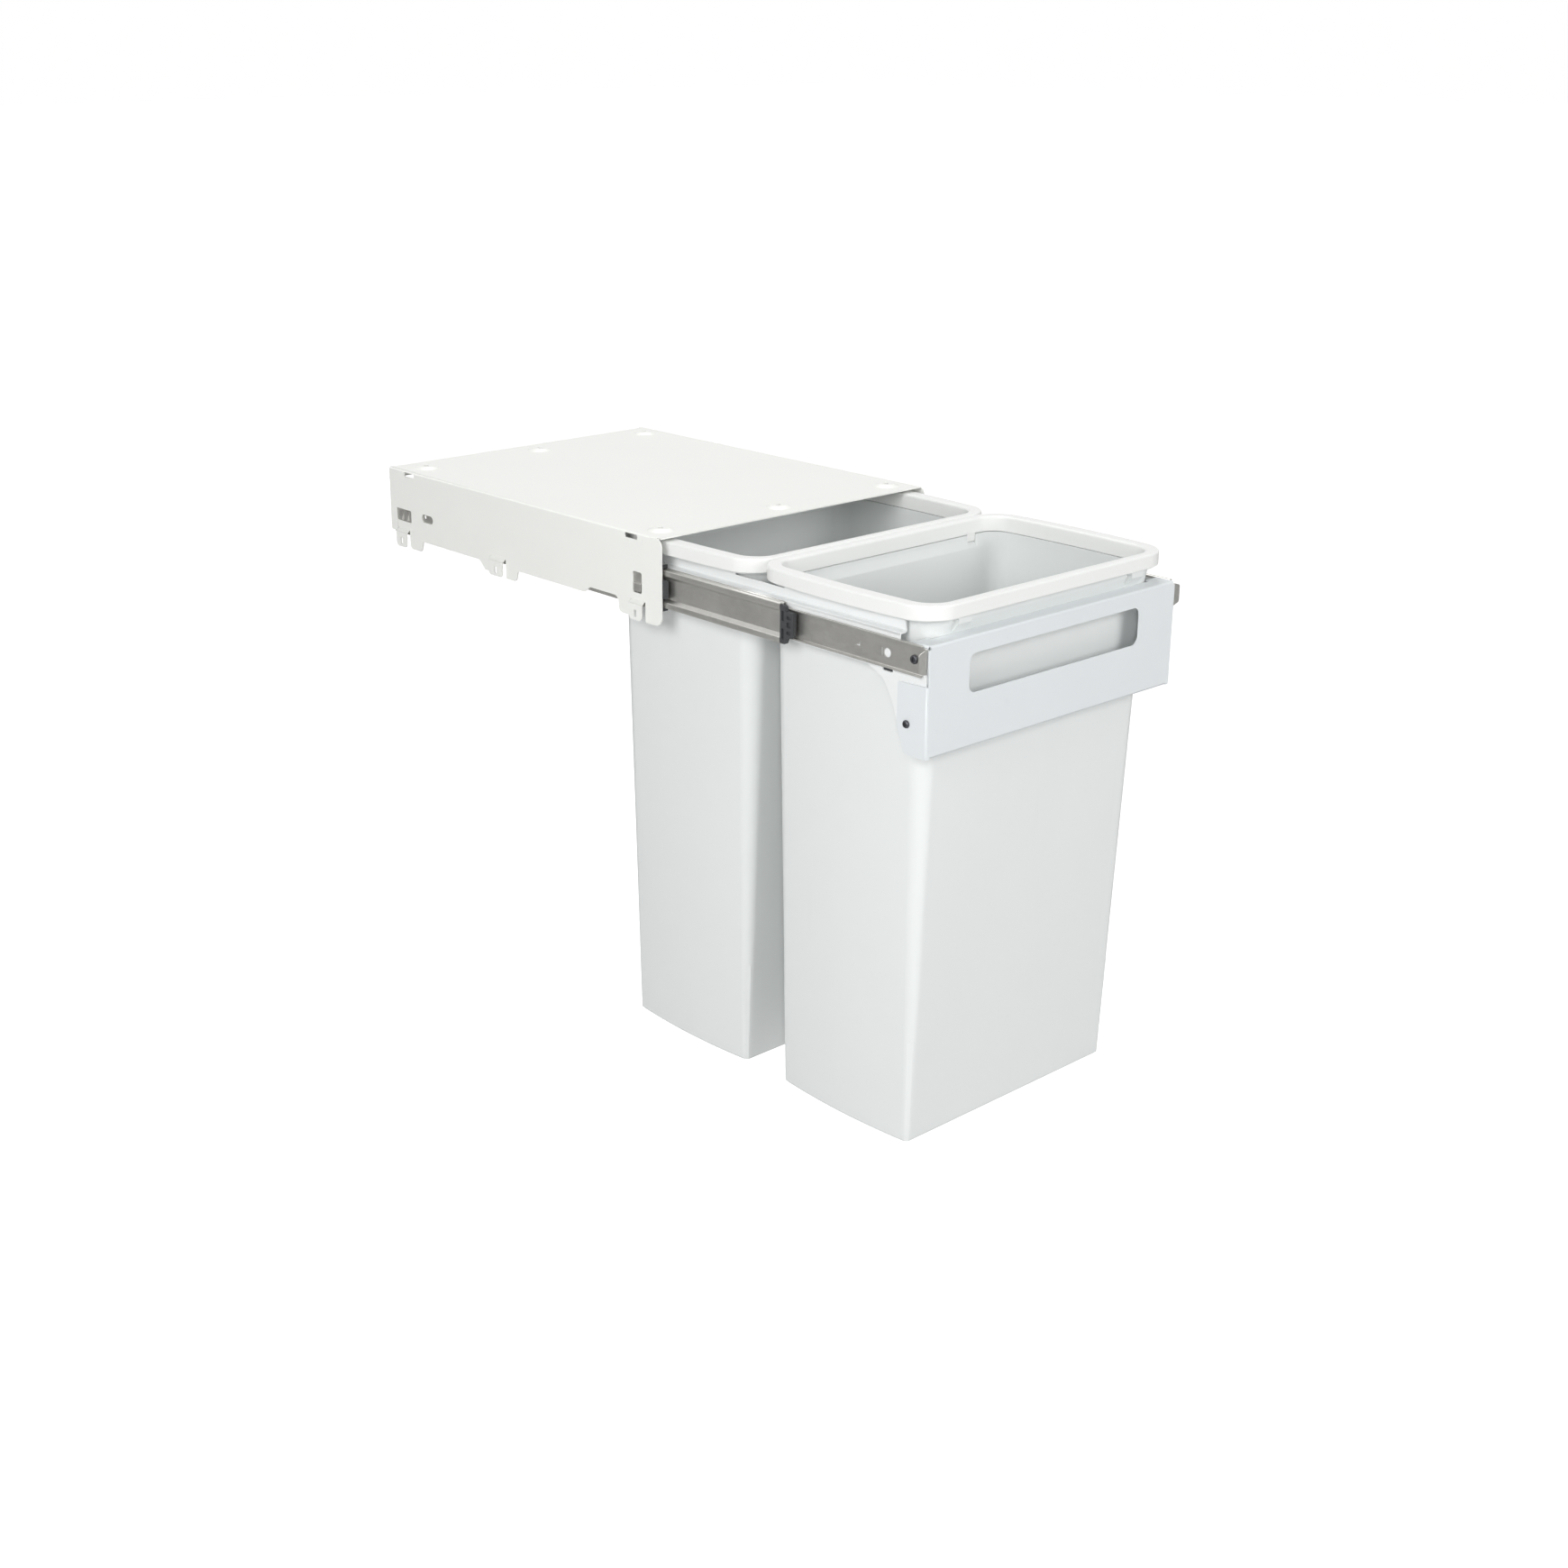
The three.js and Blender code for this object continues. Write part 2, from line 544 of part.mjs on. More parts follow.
function innerMember() {
  const { half, length, flangeStart, tabReach, tabRoot, tabTip } = INNER;
  const t = SLIDE.thickness;
  const front = INNER_FRONT;
  const z = SLIDE.z;
  const body = slideMember(symmetric([
    [INNER_TIP, half - t / 2], [INNER_WEB, half - t / 2, 1],
  ]), t, front + flangeStart, length - flangeStart);
  // The web runs on past the flanges and its end turns outwards, as a stop for the buffer.
  const [tip, root] = [-WALL + tabReach, -WALL + INNER_WEB];
  const turned = sheetSection([
    [tip, front + t / 2], [root, front + t / 2, 1.2], [root, front + flangeStart + 1],
  ], t);
  const outline = roundedShape([
    [tip, z - tabTip, 2.5], [root - 2, z - tabRoot, 2], [root + t, z - tabRoot, 0],
    [root + t, z + tabRoot, 0], [root - 2, z + tabRoot, 2], [tip, z + tabTip, 2.5],
  ]);
  const tab = alongZ(turned, z - tabRoot, z + tabRoot).intersect(
    alongY(outline, front - 1, front + flangeStart + 2));
  const tongue = front + 75.6;
  const peg = front + 44.3;
  const centre = front + length / 2;
  return cut(body.add(tab), [
    ...Object.values(SLIDE_SCREWS).map((y) => circle(y, z, SCREW.hole)),
    circle(peg, z - 1.2, 4.1),
    roundedBox(peg + 5.4, peg + 7, z - 5.2, z + 2.6, 0.6),
    roundedBox(tongue, tongue + 1.6, z - 2.6, z + 1.2, 0.5),
    roundedBox(tongue, tongue + 5, z - 2.6, z - 1.2, 0.5),
    roundedBox(centre - 7, centre + 7, z - 2.2, z + 2.2, 2.1),
  ].map(throughSlide));
}

// A cage is one strip folded around the next member, with a row of balls along each race whose
// inner face lies `race` above the slide's centre line.
function ballCage({ closedStart, pitch, count }, { share, web, reach, ballAt, race, diameter }) {
  const start = closedStart - EXTENSION * share;
  const height = race + BALL.play + diameter / 2;
  const strip = slideMember(symmetric([
    [reach, height], [web, height],
  ]), CAGE.sheet, start, (count - 1) * pitch + 2 * BALL.endMargin);
  const ballYs = Array.from({ length: count }, (_, k) => start + BALL.endMargin + k * pitch);
  const windows = ballYs.slice(1, -1).filter((_, k) => k % 2 === 0).map((y) => throughSlide(roundedBox(
    y - pitch * 0.3, y + pitch * 0.3, SLIDE.z - height * 0.6, SLIDE.z + height * 0.6, 0)));
  const balls = ballYs.flatMap((y) => [height, -height].map((b) => solid(
    new THREE.IcosahedronGeometry(diameter / 2, 0).translate(-WALL + ballAt, y, SLIDE.z + b))));
  return fuse([cut(strip, windows), ...balls]);
}

// Black end piece on the middle member: it closes the inner race and takes the closing shock.
function middleBuffer() {
  const front = MIDDLE_FRONT - FIT;
  const z = SLIDE.z;
  const tall = CREST - 0.4;
  const cheek = roundedShape([
    [front, z - tall, 1], [front, z + tall - 1, 1], [front - 5.9, z + tall - 1.6, 1],
    [front - 6.7, z + 11.6, 1], [front - 16.2, z + 11.2, 1], [front - 16.2, z - 10.4, 1],
    [front - 8.7, z - 11.2, 2], [front - 6.3, z - tall, 1.5],
  ], 2);
  const body = alongX(cheek, -WALL + OUTER_INSIDE + CAGE.room + 0.2, -WALL + FAR_WEB + 0.7);
  const near = [13.2, 8.2].map((back) => front - back);
  const far = [5, 2].map((back) => front - back);
  const grooves = [
    [...near, -2.2, 2.4], [...near, 5, 8], [...near, -8.4, -5.4], [...far, -13.6, -4], [...far, 2.6, 11.6],
  ].map(([y0, y1, b0, b1]) => alongX(
    roundedBox(y0, y1, z + b0, z + b1, 0.8), -WALL, -WALL + FAR_WEB - 1.5));
  return cut(body, grooves);
}

// Black guide block at the mouth of the outer member, ahead of the cover's side plate.
function mouthGuide() {
  const z = SLIDE.z;
  const back = SLIDE.front - FIT;
  const high = OUTER_HALF - 0.6;
  const nose = -COVER.sideReach - 6.4;
  const outline = roundedShape([
    [back, z - high, 1], [back, z + high, 1], [-0.6, z + high, 1], [-0.6, z + 9.4, 1],
    [nose, z + 9.4, 2], [nose, z - 8.4, 2], [-0.6, z - 8.4, 1], [-0.6, z - high, 1],
  ], 2);
  const cheek = alongX(outline, -WALL + FIT, -WALL + OUTER_INSIDE + CAGE.room - 0.35);
  const runner = (z0, z1) => block(-WALL + FIT, -WALL + SLIDE.tip - 0.6, -0.6, back, z0, z1);
  return fuse([cheek, runner(z + CREST + 0.5, z + high), runner(z - high, z - CREST - 0.5)]);
}

// A pan-head screw along X with a cross recess; `seat` is the face that its head lies on.
function panScrew(seat, tip, y, z, headRadius) {
  const top = seat - SCREW.head;
  const body = turnedAlongX([
    [0, top], [headRadius * 0.72, top], [headRadius, (top + seat) / 2], [headRadius, seat],
    [SCREW.shank, seat], [SCREW.shank, tip], [0, tip],
  ], y, z);
  const arm = headRadius * 0.55;
  const recess = [top - 1, top + SCREW.head / 2];
  return cut(body, [
    block(...recess, y - arm, y + arm, z - 0.55, z + 0.55),
    block(...recess, y - 0.55, y + 0.55, z - arm, z + arm),
  ]);
}

// --------------------------------------------------------------------------- the tray

// Side rail: an upright web whose top folds into a ledge and an upstand for the bucket rims,
// and whose front end grows down into a gusset for the hand panel.
function sideRail() {
  const { thickness, ledge, lean, bottom, notchLength, notchDepth } = TRAY;
  const mid = RAIL_FACE - thickness / 2;
  const section = sheetSection([
    [-mid, bottom + 4],
    [-mid, ledge - thickness / 2, 1.6],
    [-UPSTAND_X, ledge + 0.4 - thickness / 2, 1.6],
    [-UPSTAND_X - lean, UPSTAND_TOP],
  ], thickness);
  const [screwY, screwZ] = PANEL_SCREW;
  const nose = PANEL_FACE + SHEET + FIT + 1;
  const noseTop = PANEL_TOP - SHEET - 1.6;
  const web = roundedShape([
    [RAIL_BACK, bottom, 2],
    [RAIL_BACK, ledge - 6, 0],
    [RAIL_FRONT, ledge - 6, 0],
    [RAIL_FRONT, noseTop, 0],
    [nose, noseTop, 1],
    [nose, PANEL_BOTTOM + 2.2, 2],
    [screwY - 0.8, PANEL_BOTTOM + 1.2, 2],
    [screwY + 3.6, PANEL_BOTTOM + 4, 3],
    [RAIL_FRONT - 0.1, PANEL_BOTTOM + 24, 30],
    [RAIL_FRONT + 7, (PANEL_BOTTOM + 2 * bottom) / 3 - 3, 30],
    [RAIL_FRONT + 16.5, bottom - 9, 14],
    [RAIL_FRONT + 35.5, bottom, 14],
  ], 3);
  // Between the two buckets the upstand dips below their collars.
  const gapY = (FRONT_BUCKET + REAR_BUCKET) / 2 - 4;
  const dip = roundedShape([
    [gapY - notchLength / 2, UPSTAND_TOP + 2, 0], [gapY - notchLength / 2, UPSTAND_TOP - notchDepth, 1.2],
    [gapY + notchLength / 2, UPSTAND_TOP - notchDepth, 1.2], [gapY + notchLength / 2, UPSTAND_TOP + 2, 0],
  ], 2);
  const slotY = INNER_FRONT + 38.8;
  const holes = [
    roundedBox(slotY, slotY + 11.6, bottom - 1.6, bottom + 1.2, 0.8),
    ...Object.values(SLIDE_SCREWS).map((y) => circle(y, SLIDE.z, SCREW.hole)),
    circle(screwY, screwZ, SCREW.hole),
  ].map((shape) => alongX(shape, -RAIL_FACE - 1, -mid + thickness));
  return cut(fuse([
    alongX(web, -RAIL_FACE, -RAIL_FACE + thickness),
    alongY(section, RAIL_FRONT, RAIL_BACK),
  ]), [...holes, alongX(dip, -RAIL_FACE, -UPSTAND_X + 3)]);
}

// Rear tie: a channel across the tray behind the rear bucket, with lugs along both side rails.
function rearTie() {
  const tie = { back: RAIL_BACK - 1, reach: 8, top: TRAY.ledge - 7, bottom: TRAY.bottom + 2.5, lug: 18 };
  const inside = RAIL_FACE - TRAY.thickness - FIT;
  const section = sheetSection([
    [tie.back - tie.reach, tie.top], [tie.back, tie.top, 1.4], [tie.back, tie.bottom, 1.4],
    [tie.back - tie.reach, tie.bottom],
  ], SHEET);
  const lug = alongX(
    roundedBox(tie.back - tie.lug, tie.back, tie.bottom + 3, tie.top - 3, 2), -inside, -inside + SHEET);
  return fuse([alongX(section, -inside, inside), lug, mirrored(lug)]);
}

function handPanel() {
  const { topReturn, endReturn, bottomReturn, slot, flange } = PANEL;
  const face = PANEL_FACE + SHEET / 2;
  const bendRadius = BEND + SHEET / 2;
  const section = sheetSection([
    [PANEL_FACE + topReturn, PANEL_TOP - SHEET / 2],
    [face, PANEL_TOP - SHEET / 2, bendRadius],
    [face, PANEL_BOTTOM + SHEET / 2, bendRadius],
    [PANEL_FACE + bottomReturn, PANEL_BOTTOM + SHEET / 2],
  ], SHEET);
  const front = alongX(section, -PANEL_HALF + 3, PANEL_HALF - 3);
  const edge = block(
    -PANEL_HALF + 1, PANEL_HALF - 1, PANEL_FACE, PANEL_FACE + SHEET, PANEL_BOTTOM + 2, PANEL_TOP - 3.4);
  // The flange folds back from the panel's end below the slide.
  const fold = sheetSection([
    [-PANEL_HALF + 5, face], [-PANEL_HALF + SHEET / 2, face, bendRadius],
    [-PANEL_HALF + SHEET / 2, face + flange.reach + 2],
  ], SHEET);
  const flangeTop = PANEL_TOP - flange.drop;
  const back = PANEL_FACE + flange.reach;
  const [screwY, screwZ] = PANEL_SCREW;
  const outline = roundedShape([
    [PANEL_FACE - 1, flangeTop, 0], [back, flangeTop - 1.6, 1.5], [back, PANEL_BOTTOM + flange.rise, 2],
    [back - flange.cut, PANEL_BOTTOM + 1.4, 3], [screwY - 0.5, PANEL_BOTTOM, 3],
    [PANEL_FACE - 1, PANEL_BOTTOM, 0],
  ]);
  const side = alongZ(fold, PANEL_BOTTOM, flangeTop).intersect(
    alongX(outline, -PANEL_HALF - 1, -PANEL_HALF + 8));
  // A short ear turns down at each end of the top return, above the rail.
  const earX = -RAIL_FACE + FIT + SHEET / 2;
  const ear = alongY(sheetSection([
    [earX + 16, PANEL_TOP - SHEET / 2], [earX, PANEL_TOP - SHEET / 2, bendRadius],
    [earX, PANEL_TOP - 2.4],
  ], SHEET), PANEL_FACE + 2.4, PANEL_FACE + endReturn);
  const ends = side.add(ear);
  const slotTop = PANEL_TOP - slot.drop;
  const handSlot = alongY(roundedBox(
    -slot.width / 2, slot.width / 2, slotTop - slot.height, slotTop, slot.radius, 4),
  PANEL_FACE - 3, PANEL_FACE + 3);
  const screwHole = alongX(circle(screwY, screwZ, SCREW.hole), -PANEL_HALF - 2, PANEL_HALF + 2);
  return cut(fuse([front, edge, ends, mirrored(ends)]), [handSlot, screwHole]);
}

// ------------------------------------------------------------------------ the buckets

// Half sizes and corner radius of the tapered body at a height; 1 is the shoulder, 0 the floor.
function bodyAt(z) {
  const share = (z - FLOOR_Z) / (SHOULDER_Z - FLOOR_Z);
  return {
    half: FLOOR.map((half, i) => half + (SHOULDER[i] - half) * share),
    radius: BUCKET.floorRadius + (BUCKET.shoulderRadius - BUCKET.floorRadius) * share,
    bow: BUCKET.floorBow + (BUCKET.neckBow - BUCKET.floorBow) * share,
    shift: BUCKET.lean * (1 - share),
  };
}

function bodyRing(z, inset) {
  const { half, radius, bow, shift } = bodyAt(z);
  return ring(grown(half, -inset), Math.max(radius - inset, 2), z, bow, shift);
}

// A wedge on the bucket's front or back wall; cut out of the wall's inside it makes a pocket.
function clipWedge(side, x, inset) {
  const wall = NECK[1];
  const top = RIM_UNDER + 2;
  const bottom = RIM_UNDER - CLIP.height + inset;
  const outline = polygon([
    [side * (wall - 8), top], [side * (wall + CLIP.reach - inset), top],
    [side * (wall + CLIP.reach - inset), top - 7], [side * (SHOULDER[1] - inset), bottom],
    [side * (wall - 8), bottom],
  ]);
  const halfWidth = CLIP.width / 2 - inset;
  return alongX(outline, x - halfWidth, x + halfWidth);
}

const CLIP_PLACES = [-1, 1].flatMap((side) => [-CLIP_X, CLIP_X].map((x) => [side, x]));

// Raised strip down a lower corner, which keeps stacked buckets from jamming.
function cornerStrip(sx, sy) {
  const spread = 1.3 / BUCKET.floorRadius;
  const profile = (z, proud) => {
    const { half, radius, shift } = bodyAt(z);
    const points = [[-1, -1], [-1, proud], [1, proud], [1, -1]].map(([turn, rise]) => {
      const angle = Math.PI / 4 + turn * spread;
      return [
        sx * (half[0] - radius + (radius + rise) * Math.cos(angle)),
        sy * (half[1] - radius + (radius + rise) * Math.sin(angle)) + shift,
        z,
      ];
    });
    return sx * sy > 0 ? points : points.reverse();
  };
  const top = FLOOR_Z + BUCKET.ribHeight;
  return loft([profile(FLOOR_Z + 1, 0.7), profile(top, 0.7), profile(top + 1.2, -0.6)]);
}

function bucketBody() {
  const { wall, base, lipWall, neckRadius, neckBow, rimRadius, lean } = BUCKET;
  const { bow } = COLLAR;
  const outer = loft([
    bodyRing(FLOOR_Z, 1.2), bodyRing(FLOOR_Z + 1.2, 0), bodyRing(SHOULDER_Z, 0),
    ring(NECK, neckRadius, RIM_UNDER - BUCKET.neckDrop, neckBow),
    ring(NECK, neckRadius, RIM_UNDER, neckBow),
    ring(RIM, rimRadius, RIM_UNDER + 0.01, bow),
    ring(RIM, rimRadius, RIM_TOP, bow),
    ring(NECK, neckRadius, RIM_TOP + 0.01, neckBow),
    ring(NECK, neckRadius, COLLAR_TOP - COLLAR.wall - FIT, neckBow),
  ]);
  const step = COLLAR_TOP - COLLAR.skirt - 2.6; // a ledge that the collar's skirt stands over
  const ledge = grown(OPENING, -0.4);
  const neckInside = grown(NECK, -lipWall);
  const inner = loft([
    bodyRing(FLOOR_Z + base, wall + 4), bodyRing(FLOOR_Z + base + 3, wall), bodyRing(SHOULDER_Z, wall),
    ring(ledge, neckRadius - 3, step - 5, neckBow),
    ring(ledge, neckRadius - 3, step, neckBow),
    ring(neckInside, neckRadius - lipWall, step + 0.01, neckBow),
    ring(neckInside, neckRadius - lipWall, COLLAR_TOP, neckBow),
  ]);
  const belowRim = block(-RIM[0], RIM[0], -2 * RIM[1], 2 * RIM[1], SHOULDER_Z - 20, RIM_UNDER + 1);
  const wedges = CLIP_PLACES.map(([side, x]) => clipWedge(side, x, 0).intersect(belowRim));
  const pockets = CLIP_PLACES.map(([side, x]) => clipWedge(side, x, lipWall));
  const strips = [[-1, -1], [1, -1], [1, 1], [-1, 1]].map(([sx, sy]) => cornerStrip(sx, sy));
  const undercut = loft([
    ring(grown(FLOOR, -14), 8, FLOOR_Z - 1, 0, lean), ring(grown(FLOOR, -15), 8, FLOOR_Z + 1, 0, lean),
  ]);
  return cut(fuse([outer, ...wedges, ...strips]), [inner, ...pockets, undercut]);
}

// Liner collar: a ring over the bucket's rim with an outer skirt, an inner skirt that goes
// into the bucket, and four spring legs that reach down into the clip pockets.
function collarBody() {
  const { wall, radius, bow, openingRadius, edgeDrop, skirt } = COLLAR;
  const inner = BUCKET.neckBow;
  const edge = COLLAR_TOP - edgeDrop;
  const outside = loft([
    ring(COLLAR_HALF, radius, COLLAR_BOTTOM, bow), ring(COLLAR_HALF, radius, edge - 0.4, bow),
    ring(grown(COLLAR_HALF, -0.9), radius - 0.9, edge + 1.4, bow),
    ring(grown(COLLAR_HALF, -3), radius - 3, COLLAR_TOP, bow),
    ring(grown(OPENING, 3), openingRadius + 2.4, COLLAR_TOP + 0.01, inner),
  ]);
  const hollow = loft([
    ring(grown(COLLAR_HALF, -wall), radius - wall, COLLAR_BOTTOM - 1, bow),
    ring(grown(COLLAR_HALF, -wall), radius - wall, edge - 1, bow),
    ring(grown(COLLAR_HALF, -wall - 2), radius - wall - 2, COLLAR_TOP - wall, bow),
  ]);
  const skirtBottom = COLLAR_TOP - skirt - 2.2;
  const sleeve = loft([
    ring(grown(OPENING, 0.9), openingRadius + 0.9, skirtBottom, inner),
    ring(grown(OPENING, 0.9), openingRadius + 0.9, COLLAR_TOP - 0.5, inner),
  ]);
  const mouth = loft([
    ring(grown(OPENING, -0.9), openingRadius - 0.9, skirtBottom - 1, inner),
    ring(grown(OPENING, -0.2), openingRadius - 0.2, edge - 0.3, inner),
    ring(grown(OPENING, 0.8), openingRadius + 0.8, edge + 0.9, inner),
    ring(grown(OPENING, 3), openingRadius + 2.4, COLLAR_TOP, inner),
    ring(grown(OPENING, 3), openingRadius + 2.4, COLLAR_TOP + 2, inner),
  ]);
  const legs = CLIP_PLACES.map(([side, x]) => {
    const outer = side * (NECK[1] - BUCKET.lipWall - FIT);
    const foot = skirtBottom - CLIP.leg;
    const across = [outer - side * CLIP.sheet, outer].sort((p, q) => p - q);
    const bead = alongX(circle(outer, foot + 1.9, 1.1), x - 4.4, x + 4.4, 4);
    return block(x - 5.4, x + 5.4, ...across, foot, skirtBottom + 2).add(bead);
  });
  return cut(fuse([cut(outside, [hollow]), sleeve, ...legs]), [mouth]);
}

// --------------------------------------------------------------------------- assembly

addPart('cover', coverBody(), 'coverWhite');
addPair('slide_outer', outerMember(), 'galvanised');
addPair('slide_middle', middleMember(), 'galvanised');
addPair('slide_inner', innerMember(), 'galvanised');
addPair('ball_cage_outer', ballCage(OUTER_CAGE, {
  share: 1 / 4,
  web: OUTER_INSIDE + CAGE.room / 2,
  reach: NEAR_WEB + 4.6,
  ballAt: NEAR_WEB + 3,
  race: RACE + SLIDE.thickness / 2,
  diameter: BALL.outer,
}), 'cageSteel');
addPair('ball_cage_inner', ballCage(INNER_CAGE, {
  share: 3 / 4,
  web: FAR_WEB + (SLIDE.thickness + CAGE.room) / 2,
  reach: INNER_TIP + 1.6,
  ballAt: INNER_TIP + 0.6,
  race: INNER.half,
  diameter: BALL.inner,
}), 'cageSteel');
addPair('slide_buffer', middleBuffer(), 'blackPlastic');
addPair('mouth_guide', mouthGuide(), 'blackPlastic');
addPair('tray_rail', sideRail(), 'railWhite');
addPart('tray_tie', rearTie(), 'railWhite');
addPart('hand_panel', handPanel(), 'panelWhite');

const webFace = -RAIL_FACE - SLIDE.thickness - 2 * FIT;
Object.entries(SLIDE_SCREWS).forEach(([place, y]) => addPair(
  `slide_screw_${place}`, panScrew(webFace, -RAIL_FACE + 5, y, SLIDE.z, SCREW.slideHead), 'screwSteel'));
addPair('panel_screw', panScrew(
  -PANEL_HALF - FIT, -RAIL_FACE + 5, ...PANEL_SCREW, SCREW.panelHead), 'screwSteel');

const bucket = bucketBody();
const collar = collarBody();
Object.entries({ front: FRONT_BUCKET, rear: REAR_BUCKET }).forEach(([place, y]) => {
  addPart(`bucket_${place}`, moved(bucket, 0, y, 0), 'bucketWhite');
  addPart(`liner_collar_${place}`, moved(collar, 0, y, 0), 'collarWhite');
});

export default group;
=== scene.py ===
"""Looks for a pull-out waste unit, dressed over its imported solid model.

The unit is a folded sheet-steel cover, two ball slides, a tray with a hand panel, and two
tapered buckets under liner collars. Sizes are millimetres until a finished mesh is placed.
"""

import json
import logging
import math
from dataclasses import dataclass
from enum import Enum
from typing import Any, Iterable, Sequence

import bmesh
import bpy
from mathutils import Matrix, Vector


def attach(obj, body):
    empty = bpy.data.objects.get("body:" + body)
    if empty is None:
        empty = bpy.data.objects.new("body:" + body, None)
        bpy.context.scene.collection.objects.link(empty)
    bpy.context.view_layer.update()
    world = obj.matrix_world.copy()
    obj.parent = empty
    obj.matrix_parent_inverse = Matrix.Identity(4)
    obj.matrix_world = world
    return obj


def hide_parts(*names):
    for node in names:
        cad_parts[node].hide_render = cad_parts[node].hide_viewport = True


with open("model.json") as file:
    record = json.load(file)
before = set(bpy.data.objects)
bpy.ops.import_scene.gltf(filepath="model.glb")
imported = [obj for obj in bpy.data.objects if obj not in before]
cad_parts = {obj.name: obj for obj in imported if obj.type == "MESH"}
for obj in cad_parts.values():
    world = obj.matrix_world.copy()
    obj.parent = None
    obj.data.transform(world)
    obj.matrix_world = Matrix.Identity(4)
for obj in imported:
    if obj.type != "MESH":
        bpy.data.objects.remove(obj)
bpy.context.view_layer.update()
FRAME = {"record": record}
MM = 0.001
SHARP = math.radians(38)  # edges over this angle get a small rounding
ROUND_ALL = 100.0  # no face is wider than this, so that a moulded piece is shaded round
BLACK = "black_plastic_grain"
LOG = logging.getLogger("waste_unit")

Corner = tuple[float, ...]  # a, b and, where the corner is rounded, its radius


# ------------------------------------------------------------------------------ solids


class Axis(Enum):
    """The direction along which a drawn outline is pushed."""

    X = 0  # drawn in (y, z)
    Y = 1  # drawn in (x, z)
    Z = 2  # drawn in (x, y)

    def point(self, a: float, b: float, along: float) -> tuple[float, float, float]:
        """Returns the point that lies at (a, b) in the drawing and at `along` on the axis."""
        return ((along, a, b), (a, along, b), (a, b, along))[self.value]


class Boolean(Enum):
    """How two solids are put together."""

    JOIN = "UNION"
    CUT = "DIFFERENCE"
    KEEP = "INTERSECT"


@dataclass(frozen=True)
class Ring:
    """A rounded rectangle about the Z axis, one level of a lofted wall."""

    half_x: float
    half_y: float
    radius: float
    z: float
    bow: float = 0.0
    shift: float = 0.0
    segments: int = 8
    cuts: int = 9

    def grown(self, by: float, z: float | None = None) -> "Ring":
        """Returns the ring with its sides moved outwards by `by`, at another height if given."""
        return Ring(self.half_x + by, self.half_y + by, max(self.radius + by, 1.5),
                    self.z if z is None else z, self.bow, self.shift, self.segments, self.cuts)

    def draw(self, mesh: bmesh.types.BMesh) -> list[bmesh.types.BMEdge]:
        """Draws the ring as a closed loop of edges.

        Args:
            mesh: The mesh that the loop is added to.

        Returns:
            The loop's edges.
        """
        known = set(mesh.edges)
        corners = [mesh.verts.new((sx * self.half_x, sy * self.half_y, self.z))
                   for sx, sy in ((-1, -1), (1, -1), (1, 1), (-1, 1))]
        mesh.faces.new(corners)
        bmesh.ops.bevel(mesh, geom=corners, offset=self.radius, offset_type="OFFSET",
                        segments=self.segments, profile=0.5, affect="VERTICES", material=-1)
        loose = [face for face in mesh.faces if not known.intersection(face.edges)
                 and abs(face.calc_center_median().z - self.z) < 1e-2]
        bmesh.ops.delete(mesh, geom=loose, context="FACES_ONLY")
        sides = [edge for edge in mesh.edges if edge not in known
                 and all(abs(abs(v.co.x) - self.half_x) < 1e-3 for v in edge.verts)]
        bmesh.ops.subdivide_edges(mesh, edges=sides, cuts=self.cuts)
        loop = [edge for edge in mesh.edges if edge not in known]
        for vert in {v for edge in loop for v in edge.verts}:
            swell = 1 - (vert.co.y / self.half_y) ** 2
            vert.co.x *= 1 + self.bow / self.half_x * swell
            vert.co.y += self.shift
        return loop


